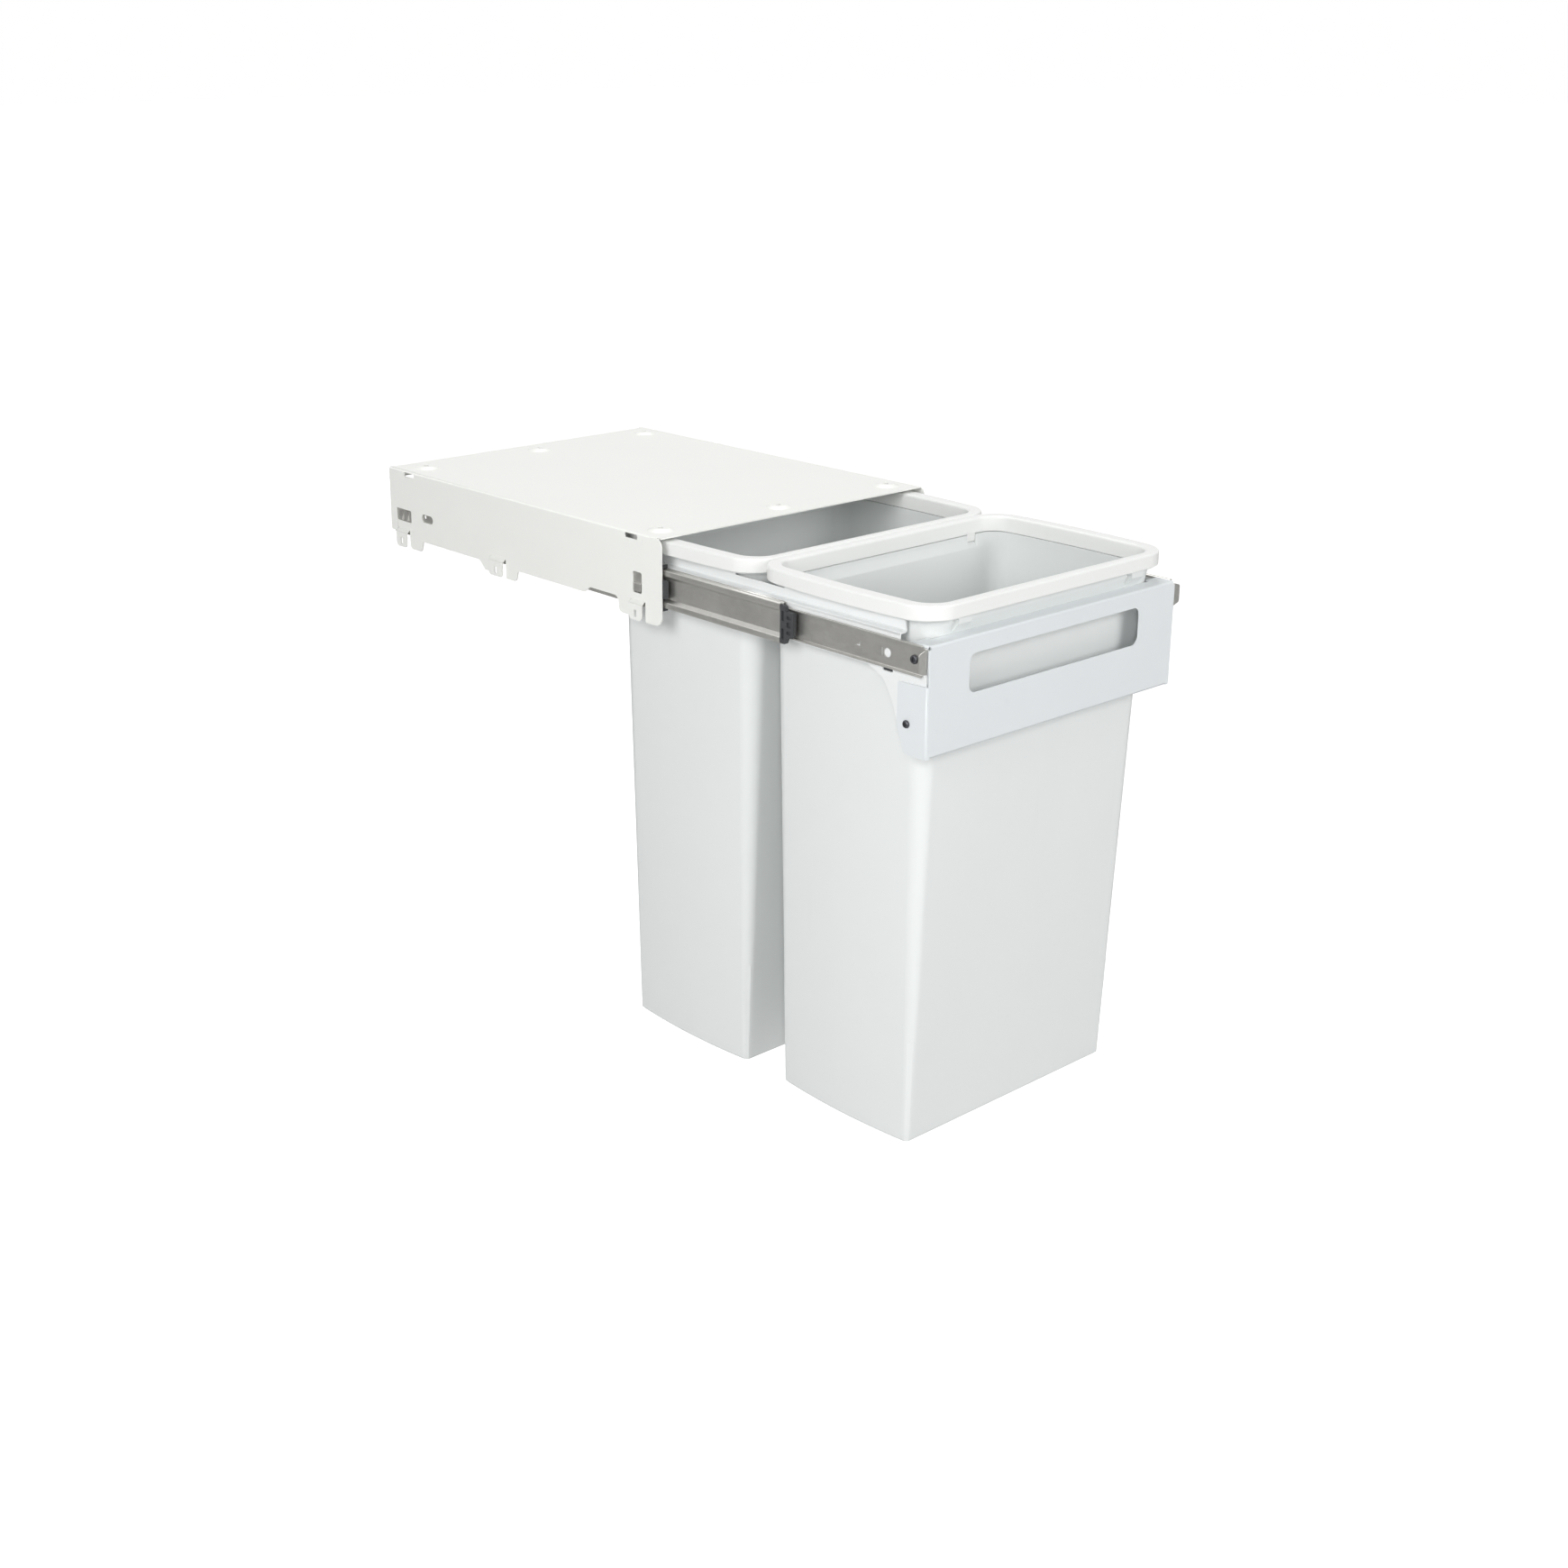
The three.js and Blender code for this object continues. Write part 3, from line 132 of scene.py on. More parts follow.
class Solid:
    """A closed solid under construction, in millimetres, held as a bmesh."""

    def __init__(self, mesh: bmesh.types.BMesh) -> None:
        """Takes over a closed bmesh."""
        self.mesh = mesh

    @staticmethod
    def _round(mesh: bmesh.types.BMesh, verts: Sequence[bmesh.types.BMVert],
               corners: Sequence[Corner], closed: bool, segments: int) -> None:
        """Rounds the corners of a drawn run of vertices.

        Args:
            mesh: The mesh that holds the run.
            verts: The run's vertices, in order.
            corners: The drawn corners that the vertices stand for.
            closed: Whether the last corner is joined to the first.
            segments: Steps in each rounded corner.
        """
        count = len(corners)
        for i, corner in enumerate(corners):
            radius = corner[2] if len(corner) > 2 else 0.0
            if radius <= 0 or (not closed and i in (0, count - 1)):
                continue
            here = Vector(corner[:2])
            before = Vector(corners[i - 1][:2]) - here
            after = Vector(corners[(i + 1) % count][:2]) - here
            room = 0.49 * min(before.length, after.length)
            half = before.angle(after) / 2
            reach = min(radius / math.tan(half), room) if half < 1.56 else 0.0
            if reach < 1e-3:
                continue
            bmesh.ops.bevel(mesh, geom=[verts[i]], offset=reach, offset_type="OFFSET",
                            segments=segments, profile=0.5, affect="VERTICES", material=-1)

    @classmethod
    def _outline(cls, mesh: bmesh.types.BMesh, axis: Axis, low: float,
                 corners: Sequence[Corner], segments: int) -> None:
        """Draws one closed outline as a face in the plane at `low`."""
        verts = [mesh.verts.new(axis.point(c[0], c[1], low)) for c in corners]
        mesh.faces.new(verts)
        cls._round(mesh, verts, corners, True, segments)

    @classmethod
    def plate(cls, axis: Axis, low: float, high: float, corners: Sequence[Corner],
              holes: Sequence[Sequence[Corner]] = (), segments: int = 6) -> "Solid":
        """Pushes an outline along an axis.

        Args:
            axis: The direction of the push.
            low: Where the plate starts on the axis.
            high: Where it ends.
            corners: The outline's corners.
            holes: Outlines of openings through the plate.
            segments: Steps in each rounded corner.

        Returns:
            The plate.
        """
        mesh = bmesh.new()
        cls._outline(mesh, axis, low, corners, segments)
        for hole in holes:
            cls._outline(mesh, axis, low, hole, segments)
        if holes:
            bmesh.ops.delete(mesh, geom=list(mesh.faces), context="FACES_ONLY")
            bmesh.ops.triangle_fill(mesh, edges=list(mesh.edges), use_beauty=True,
                                    use_dissolve=False, normal=axis.point(0, 0, 1))
        pushed = bmesh.ops.extrude_face_region(mesh, geom=list(mesh.faces))["geom"]
        moved = [item for item in pushed if isinstance(item, bmesh.types.BMVert)]
        bmesh.ops.translate(mesh, vec=axis.point(0, 0, high - low), verts=moved)
        return cls(mesh).closed()

    @classmethod
    def block(cls, x: Corner, y: Corner, z: Corner) -> "Solid":
        """Returns a plain block between two planes on each axis."""
        corners = [(x[0], y[0]), (x[1], y[0]), (x[1], y[1]), (x[0], y[1])]
        return cls.plate(Axis.Z, z[0], z[1], corners)

    @classmethod
    def folded(cls, axis: Axis, low: float, high: float, path: Sequence[Corner],
               thickness: float, segments: int = 5) -> "Solid":
        """Makes folded sheet that follows the centre line of its cross-section.

        Args:
            axis: The direction along which the section is pushed.
            low: Where the sheet starts on the axis.
            high: Where it ends.
            path: The centre line's corners, with the middle radius of each fold.
            thickness: The thickness of the sheet.
            segments: Steps in each fold.

        Returns:
            The folded sheet.
        """
        mesh = bmesh.new()
        verts = [mesh.verts.new(axis.point(c[0], c[1], low)) for c in path]
        for first, second in zip(verts, verts[1:]):
            mesh.edges.new((first, second))
        cls._round(mesh, verts, path, False, segments)
        pushed = bmesh.ops.extrude_edge_only(mesh, edges=list(mesh.edges))["geom"]
        moved = [item for item in pushed if isinstance(item, bmesh.types.BMVert)]
        bmesh.ops.translate(mesh, vec=axis.point(0, 0, high - low), verts=moved)
        bmesh.ops.recalc_face_normals(mesh, faces=list(mesh.faces))
        sheet = cls(mesh)
        thing = sheet.temporary("sheet")
        solidify = thing.modifiers.new("thickness", "SOLIDIFY")
        solidify.thickness = thickness
        solidify.offset = 0.0
        solidify.use_even_offset = True
        return sheet.taken_from(thing, []).closed()

    @classmethod
    def loft(cls, rings: Sequence[Ring]) -> "Solid":
        """Joins rings into one closed wall, listed in order along it."""
        mesh = bmesh.new()
        loops = [ring.draw(mesh) for ring in rings]
        for low, high in zip(loops, loops[1:]):
            bmesh.ops.bridge_loops(mesh, edges=low + high)
        bmesh.ops.edgeloop_fill(mesh, edges=loops[0])
        bmesh.ops.edgeloop_fill(mesh, edges=loops[-1])
        return cls(mesh).closed()

    @classmethod
    def turned(cls, axis: Axis, centre: Corner, profile: Sequence[Corner], steps: int = 32,
               segments: int = 4) -> "Solid":
        """Turns a profile of (radius, place on the axis, corner radius) about an axis.

        Args:
            axis: The axis of the turned piece.
            centre: The drawn point that the axis passes through.
            profile: The profile's corners; a profile off the axis is closed on itself.
            steps: Steps in the full turn.
            segments: Steps in each rounded corner.

        Returns:
            The turned solid.
        """
        mesh = bmesh.new()
        verts = [mesh.verts.new(axis.point(centre[0] + c[0], centre[1], c[1])) for c in profile]
        for first, second in zip(verts, verts[1:]):
            mesh.edges.new((first, second))
        closed = profile[0][0] > 0
        if closed:
            mesh.edges.new((verts[-1], verts[0]))
        cls._round(mesh, verts, profile, closed, segments)
        bmesh.ops.spin(mesh, geom=list(mesh.verts) + list(mesh.edges), steps=steps,
                       cent=axis.point(centre[0], centre[1], 0), axis=axis.point(0, 0, 1),
                       angle=2 * math.pi, use_merge=True)
        return cls(mesh).closed()

    @classmethod
    def ball(cls, centre: tuple[float, float, float], diameter: float) -> "Solid":
        """Returns a bearing ball."""
        mesh = bmesh.new()
        made = bmesh.ops.create_icosphere(mesh, subdivisions=2, radius=diameter / 2)
        bmesh.ops.translate(mesh, vec=centre, verts=made["verts"])
        return cls(mesh)

    def closed(self) -> "Solid":
        """Merges doubled points and turns all faces outwards."""
        bmesh.ops.remove_doubles(self.mesh, verts=list(self.mesh.verts), dist=1e-4)
        bmesh.ops.recalc_face_normals(self.mesh, faces=list(self.mesh.faces))
        return self

    def copy(self) -> "Solid":
        """Returns a second solid of the same shape."""
        return Solid(self.mesh.copy())

    def moved(self, x: float = 0.0, y: float = 0.0, z: float = 0.0) -> "Solid":
        """Returns a copy in another place."""
        twin = self.copy()
        bmesh.ops.translate(twin.mesh, vec=(x, y, z), verts=list(twin.mesh.verts))
        return twin

    def mirrored(self, axis: Axis = Axis.X) -> "Solid":
        """Returns the mirror image across the plane at 0 of an axis."""
        twin = self.copy()
        scale = [1.0, 1.0, 1.0]
        scale[axis.value] = -1.0
        bmesh.ops.scale(twin.mesh, vec=scale, verts=list(twin.mesh.verts))
        bmesh.ops.reverse_faces(twin.mesh, faces=list(twin.mesh.faces))
        return twin

    def temporary(self, name: str) -> bpy.types.Object:
        """Returns a scene object that holds the solid for one modifier run."""
        data = bpy.data.meshes.new(name)
        self.mesh.to_mesh(data)
        thing = bpy.data.objects.new(name, data)
        bpy.context.scene.collection.objects.link(thing)
        return thing

    def taken_from(self, thing: bpy.types.Object, tools: Sequence[bpy.types.Object]) -> "Solid":
        """Reads a temporary object's shape with its modifiers, and removes what was temporary."""
        graph = bpy.context.evaluated_depsgraph_get()
        data = bpy.data.meshes.new_from_object(thing.evaluated_get(graph))
        self.mesh.clear()
        self.mesh.from_mesh(data)
        for item in (thing, *tools):
            bpy.data.meshes.remove(item.data)
        bpy.data.meshes.remove(data)
        return self

    def _combined(self, others: Iterable["Solid"], how: Boolean) -> "Solid":
        """Puts other solids together with this one.

        Args:
            others: The other solids.
            how: Whether they are joined, cut out, or kept in common.

        Returns:
            This solid, changed.
        """
        thing = self.temporary("base")
        tools = []
        for other in others:
            tool = other.temporary("tool")
            step = thing.modifiers.new("step", "BOOLEAN")
            step.solver = "MANIFOLD"
            step.operation = how.value
            step.object = tool
            tools.append(tool)
        self.taken_from(thing, tools)
        open_edges = sum(1 for edge in self.mesh.edges if len(edge.link_faces) != 2)
        if open_edges or not self.mesh.faces:
            LOG.warning("a combined solid has %d open edges", open_edges)
        return self

    def join(self, *others: "Solid") -> "Solid":
        """Adds other solids to this one."""
        return self._combined(others, Boolean.JOIN)

    def cut(self, *others: "Solid") -> "Solid":
        """Cuts other solids out of this one."""
        return self._combined(others, Boolean.CUT)

    def keep(self, *others: "Solid") -> "Solid":
        """Keeps what this solid and the others have in common."""
        return self._combined(others, Boolean.KEEP)


def box_corners(a: Corner, b: Corner, radius: float = 0.0) -> list[Corner]:
    """Returns the corners of a drawn rectangle with rounded corners."""
    return [(a[0], b[0], radius), (a[1], b[0], radius), (a[1], b[1], radius), (a[0], b[1], radius)]


def round_corners(a: float, b: float, radius: float) -> list[Corner]:
    """Returns the corners of a drawn circle, as a square rounded to its full radius."""
    return box_corners((a - radius, a + radius), (b - radius, b + radius), radius)


def symmetric(half: Sequence[Corner]) -> list[Corner]:
    """Returns a section drawn down to its middle, followed by its mirror image below."""
    return [*half, *[(c[0], -c[1], *c[2:]) for c in reversed(half)]]


# --------------------------------------------------------------------------- materials


Value = Any  # a Signal, a number, or a colour or vector as a tuple


class Signal:
    """One output socket of a shader tree, with arithmetic."""

    def __init__(self, tree: "ShaderTree", socket: bpy.types.NodeSocket) -> None:
        """Wraps a socket."""
        self.tree = tree
        self.socket = socket

    def _math(self, operation: str, first: Value, second: Value) -> "Signal":
        """Adds a Math node for one operation."""
        return self.tree.node("ShaderNodeMath", {"operation": operation}, {0: first, 1: second})

    def __add__(self, other: Value) -> "Signal":
        """Returns self + other."""
        return self._math("ADD", self, other)

    def __radd__(self, other: Value) -> "Signal":
        """Returns other + self."""
        return self._math("ADD", other, self)

    def __sub__(self, other: Value) -> "Signal":
        """Returns self - other."""
        return self._math("SUBTRACT", self, other)

    def __rsub__(self, other: Value) -> "Signal":
        """Returns other - self."""
        return self._math("SUBTRACT", other, self)

    def __mul__(self, other: Value) -> "Signal":
        """Returns self * other."""
        return self._math("MULTIPLY", self, other)

    def __rmul__(self, other: Value) -> "Signal":
        """Returns other * self."""
        return self._math("MULTIPLY", other, self)

    def __pow__(self, other: Value) -> "Signal":
        """Returns self raised to other."""
        return self._math("POWER", self, other)


class ShaderTree:
    """Builds one material's nodes."""

    def __init__(self, name: str) -> None:
        """Makes an empty material of that name."""
        self.material = bpy.data.materials.new(name)
        self.material.use_nodes = True
        self.nodes = self.material.node_tree.nodes
        self.links = self.material.node_tree.links
        self.nodes.clear()

    def node(self, kind: str, settings: dict[str, Any] | None = None,
             inputs: dict[Any, Value] | None = None, output: Any = 0) -> Signal:
        """Adds a node.

        Args:
            kind: The node's type.
            settings: Attributes of the node; "stops" holds a ramp's (place, grey) pairs.
            inputs: Values or signals for its sockets, by name or number.
            output: The output socket that is returned.

        Returns:
            The output as a signal.
        """
        made = self.nodes.new(kind)
        for key, value in (settings or {}).items():
            if key != "stops":
                setattr(made, key, value)
                continue
            ramp = made.color_ramp
            for index, (place, grey) in enumerate(value):
                stop = ramp.elements[index] if index < 2 else ramp.elements.new(place)
                stop.position = place
                stop.color = (grey, grey, grey, 1.0)
        for key, value in (inputs or {}).items():
            if isinstance(value, Signal):
                self.links.new(value.socket, made.inputs[key])
            else:
                made.inputs[key].default_value = value
        return Signal(self, made.outputs[output])

    def place(self, scale: tuple[float, float, float] = (1, 1, 1)) -> Signal:
        """Returns the object's coordinates in metres, stretched by `scale`."""
        spot = self.node("ShaderNodeTexCoord", output="Object")
        return self.node("ShaderNodeMapping", inputs={"Vector": spot, "Scale": scale})

    def noise(self, scale: float, detail: float = 2.0,
              stretch: tuple[float, float, float] = (1, 1, 1)) -> Signal:
        """Returns soft noise between 0 and 1 with `scale` waves to the metre."""
        return self.node("ShaderNodeTexNoise", inputs={
            "Vector": self.place(stretch), "Scale": scale, "Detail": detail})

    def between(self, value: Signal, low: float, high: float) -> Signal:
        """Returns 0 where a value is at or under `low` and 1 where it is at or over `high`."""
        return self.node("ShaderNodeMapRange", {"clamp": True}, {
            "Value": value, "From Min": low, "From Max": high})

    def mix(self, factor: Value, first: Value, second: Value) -> Signal:
        """Returns a blend of two colours."""
        return self.node("ShaderNodeMix", {"data_type": "RGBA"}, {
            0: factor, 6: first, 7: second}, output=2)

    def finish(self, colour: Value, roughness: Value, height: Signal, depth: float,
               constants: dict[str, Any]) -> bpy.types.Material:
        """Joins everything in one surface shader.

        Args:
            colour: The base colour.
            roughness: The roughness.
            height: The relief, between 0 and 1.
            depth: The height of that relief in metres.
            constants: Values of further sockets of the surface shader.

        Returns:
            The material.
        """
        normal = self.node("ShaderNodeBump", inputs={
            "Strength": 1.0, "Distance": depth, "Height": height})
        surface = self.node("ShaderNodeBsdfPrincipled", inputs={
            "Base Color": colour, "Roughness": roughness, "Normal": normal, **constants})
        self.node_output(surface)
        return self.material

    def node_output(self, surface: Signal) -> None:
        """Puts a shader on the material's output."""
        output = self.nodes.new("ShaderNodeOutputMaterial")
        self.links.new(surface.socket, output.inputs["Surface"])


def shade(colour: tuple[float, float, float], factor: float) -> tuple[float, float, float, float]:
    """Returns a colour made lighter or darker, with full alpha."""
    return (*[min(channel * factor, 1.0) for channel in colour], 1.0)


def screen_colour(red: int, green: int, blue: int) -> tuple[float, float, float]:
    """Returns the linear colour of an 8-bit screen colour."""
    def linear(step: int) -> float:
        """Returns one channel as linear light."""
        share = step / 255
        return share / 12.92 if share <= 0.04045 else ((share + 0.055) / 1.055) ** 2.4
    return linear(red), linear(green), linear(blue)


@dataclass(frozen=True)
class PowderCoat:
    """A satin powder coat on folded steel: soft orange peel, faint scuffs and handling marks."""

    name: str
    colour: tuple[float, float, float]
    roughness: float = 0.42
    peel: float = 420.0

    def material(self) -> bpy.types.Material:
        """Returns the finish as a material."""
        tree = ShaderTree(self.name)
        cloud = tree.noise(9.0, 3.0)
        peel = tree.noise(self.peel, 1.0)
        speck = tree.noise(2300.0, 1.0)
        scuffs = tree.between(tree.noise(55.0, 5.0, (1.0, 2.5, 1.6)), 0.66, 0.78)
        tone = tree.mix(cloud, shade(self.colour, 0.985), shade(self.colour, 1.015))
        colour = tree.mix(scuffs * 0.12, tone, shade(self.colour, 0.84))
        roughness = self.roughness + (cloud - 0.5) * 0.1 + scuffs * 0.12
        return tree.finish(colour, roughness, peel * 0.8 + speck * 0.2, 0.00006, {
            "Specular IOR Level": 0.45})


@dataclass(frozen=True)
class MouldedPlastic:
    """Moulded plastic: fine spark grain, flow shading and light rubbing marks up the walls."""

    name: str
    colour: tuple[float, float, float]
    roughness: float = 0.45
    grain: float = 1500.0
    relief: float = 0.00004
    marks: float = 0.12

    def material(self) -> bpy.types.Material:
        """Returns the finish as a material."""
        tree = ShaderTree(self.name)
        flow = tree.noise(5.0, 2.0, (1.0, 1.0, 0.35))
        grain = tree.noise(self.grain, 2.0)
        rubs = tree.between(tree.noise(85.0, 4.0, (1.0, 1.0, 0.06)), 0.6, 0.72)
        patches = tree.between(tree.noise(14.0, 2.0), 0.5, 0.68)
        marks = rubs * patches
        tone = tree.mix(flow, shade(self.colour, 0.975), shade(self.colour, 1.025))
        colour = tree.mix(marks * self.marks, tone, shade(self.colour, 0.8))
        roughness = self.roughness + (flow - 0.5) * 0.08 + marks * self.marks * 0.5
        return tree.finish(colour, roughness, grain, self.relief, {"Specular IOR Level": 0.5})


@dataclass(frozen=True)
class ZincSheet:
    """Zinc-plated rolled strip: small spangle, rolling lines along it and dull stains."""

    name: str
    colour: tuple[float, float, float]
    roughness: float = 0.36
    spangle: float = 330.0
    dullness: float = 0.5

    def material(self) -> bpy.types.Material:
        """Returns the finish as a material."""
        tree = ShaderTree(self.name)
        cells = tree.node("ShaderNodeTexVoronoi", inputs={
            "Vector": tree.place((1.0, 0.55, 1.0)), "Scale": self.spangle}, output="Color")
        cell = tree.node("ShaderNodeRGBToBW", inputs={0: cells})
        lines = tree.noise(2600.0, 2.0, (1.0, 0.012, 1.0))
        stain = tree.between(tree.noise(24.0, 4.0), 0.42, 0.72)
        tone = tree.mix(cell * 0.5 + lines * 0.5, shade(self.colour, 0.9), shade(self.colour, 1.1))
        colour = tree.mix(stain * self.dullness, tone, shade(self.colour, 0.8))
        roughness = self.roughness + cell * 0.05 + stain * 0.08
        return tree.finish(colour, roughness, lines * 0.7 + cell * 0.3, 0.000003, {
            "Metallic": 0.9})


@dataclass(frozen=True)
class PlatedScrew:
    """Dark plated screw steel with fine turning marks."""

    name: str
    colour: tuple[float, float, float]
    roughness: float = 0.34

    def material(self) -> bpy.types.Material:
        """Returns the finish as a material."""
        tree = ShaderTree(self.name)
        cloud = tree.noise(700.0, 3.0)
        wear = tree.between(tree.noise(1900.0, 3.0), 0.58, 0.7)
        tone = tree.mix(cloud, shade(self.colour, 0.75), shade(self.colour, 1.3))
        colour = tree.mix(wear * 0.5, tone, shade(self.colour, 2.6))
        return tree.finish(colour, self.roughness + cloud * 0.12, cloud, 0.00002, {"Metallic": 0.9})


FINISHES = (
    PowderCoat("cover_powder_coat", screen_colour(243, 244, 240)),
    PowderCoat("panel_powder_coat", screen_colour(225, 229, 231), roughness=0.4, peel=480.0),
    PowderCoat("rail_powder_coat", screen_colour(236, 238, 238)),
    MouldedPlastic("bucket_plastic_grain", screen_colour(231, 234, 233), roughness=0.31,
                   marks=0.05),
    MouldedPlastic("collar_plastic_smooth", screen_colour(241, 242, 240), roughness=0.38,
                   grain=2100.0, relief=0.00002, marks=0.08),
    MouldedPlastic(BLACK, screen_colour(60, 62, 64), roughness=0.5),
    ZincSheet("slide_zinc", screen_colour(196, 195, 191), roughness=0.32, dullness=0.15),
    ZincSheet("cage_zinc", screen_colour(196, 194, 188), roughness=0.29, dullness=0.15),
    PlatedScrew("screw_plating", screen_colour(88, 89, 93)),
)


# ------------------------------------------------------------------------------ pieces


@dataclass
class Workshop:
    """Places finished solids in the scene."""

    materials: dict[str, bpy.types.Material]
    slots: dict[str, str]
    bodies: dict[str, str]

    def place(self, solid: Solid, node: str, finish: str, edge: float = 0.15,
              flats: float = 2.0, suffix: str = "shape") -> None:
        """Makes a solid the shown form of a node of the frame.

        Args:
            solid: The solid, in millimetres.
            node: The node that it stands for.
            finish: The name of its material.
            edge: The width of the small rounding along its sharp edges, in millimetres.
            flats: The width over which a face is a true flat, and isn't shaded round.
            suffix: The end of the piece's name.
        """
        mesh = solid.mesh
        moulded = flats > ROUND_ALL
        if not moulded:
            bmesh.ops.dissolve_limit(
                mesh, angle_limit=math.radians(0.4), use_dissolve_boundaries=False,
                verts=list(mesh.verts), edges=list(mesh.edges), delimit=set())
        if edge and not moulded:
            sharp = [line for line in mesh.edges
                     if line.is_manifold and line.calc_face_angle() > SHARP]
            bmesh.ops.bevel(mesh, geom=sharp, offset=edge, offset_type="OFFSET", segments=2,
                            profile=0.5, affect="EDGES", clamp_overlap=True, material=-1)
        for face in mesh.faces:
            face.smooth = True
            if 2 * face.calc_area() > flats * face.calc_perimeter():
                for line in face.edges:
                    line.smooth = False
        bmesh.ops.scale(mesh, vec=(MM, MM, MM), verts=list(mesh.verts))
        data = bpy.data.meshes.new(f"{node}_{suffix}")
        mesh.to_mesh(data)
        data.materials.append(self.materials[finish])
        if moulded and not edge:
            data.set_sharp_from_angle(angle=SHARP)
        piece = bpy.data.objects.new(f"{node}_{suffix}", data)
        bpy.context.scene.collection.objects.link(piece)
        if moulded and edge:
            bevel = piece.modifiers.new("edges", "BEVEL")
            bevel.width = edge * MM
            bevel.segments = 2
            bevel.limit_method = "ANGLE"
            bevel.angle_limit = SHARP
        if moulded:
            normals = piece.modifiers.new("normals", "WEIGHTED_NORMAL")
            normals.weight = 60
            normals.keep_sharp = not edge
        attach(piece, self.bodies[node])
        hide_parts(node)
        LOG.info("%s: %d faces", piece.name, len(data.polygons))

    def place_pair(self, left: Solid, node: str, finish: str, edge: float = 0.15,
                   suffix: str = "shape") -> None:
        """Places a left-hand solid and its mirror image."""
        right = left.mirrored()
        self.place(left, f"{node}_left", finish, edge, suffix=suffix)
        self.place(right, f"{node}_right", finish, edge, suffix=suffix)


@dataclass(frozen=True)
class Levels:
    """Places that more than one sub-assembly shares."""

    fit: float = 0.3
    sheet: float = 1.2
    fold: float = 1.4  # middle radius of a fold in coated sheet
    half_width: float = 173.0
    depth: float = 438.5
    wall: float = 171.8  # inner face of the cover's side plates
    slide_z: float = -46.6
    rail_face: float = 160.15
    panel_face: float = -322.3
    panel_top: float = -33.0
    panel_bottom: float = -130.0
    inner_front: float = -320.6
    rim_under: float = -18.0
    front_bucket: float = -214.5
    rear_bucket: float = -3.8
    screw_hole: float = 2.2

    @property
    def slide_screws(self) -> dict[str, float]:
        """Places along Y of the screws through the inner slide members."""
        return {"front": self.inner_front + 13.4, "rear": self.inner_front + 330.0}

    @property
    def panel_screw(self) -> tuple[float, float]:
        """The place in (y, z) of the screw at the panel's side flange."""
        return self.panel_face + 21.8, self.panel_bottom + 26.6


LEVELS = Levels()


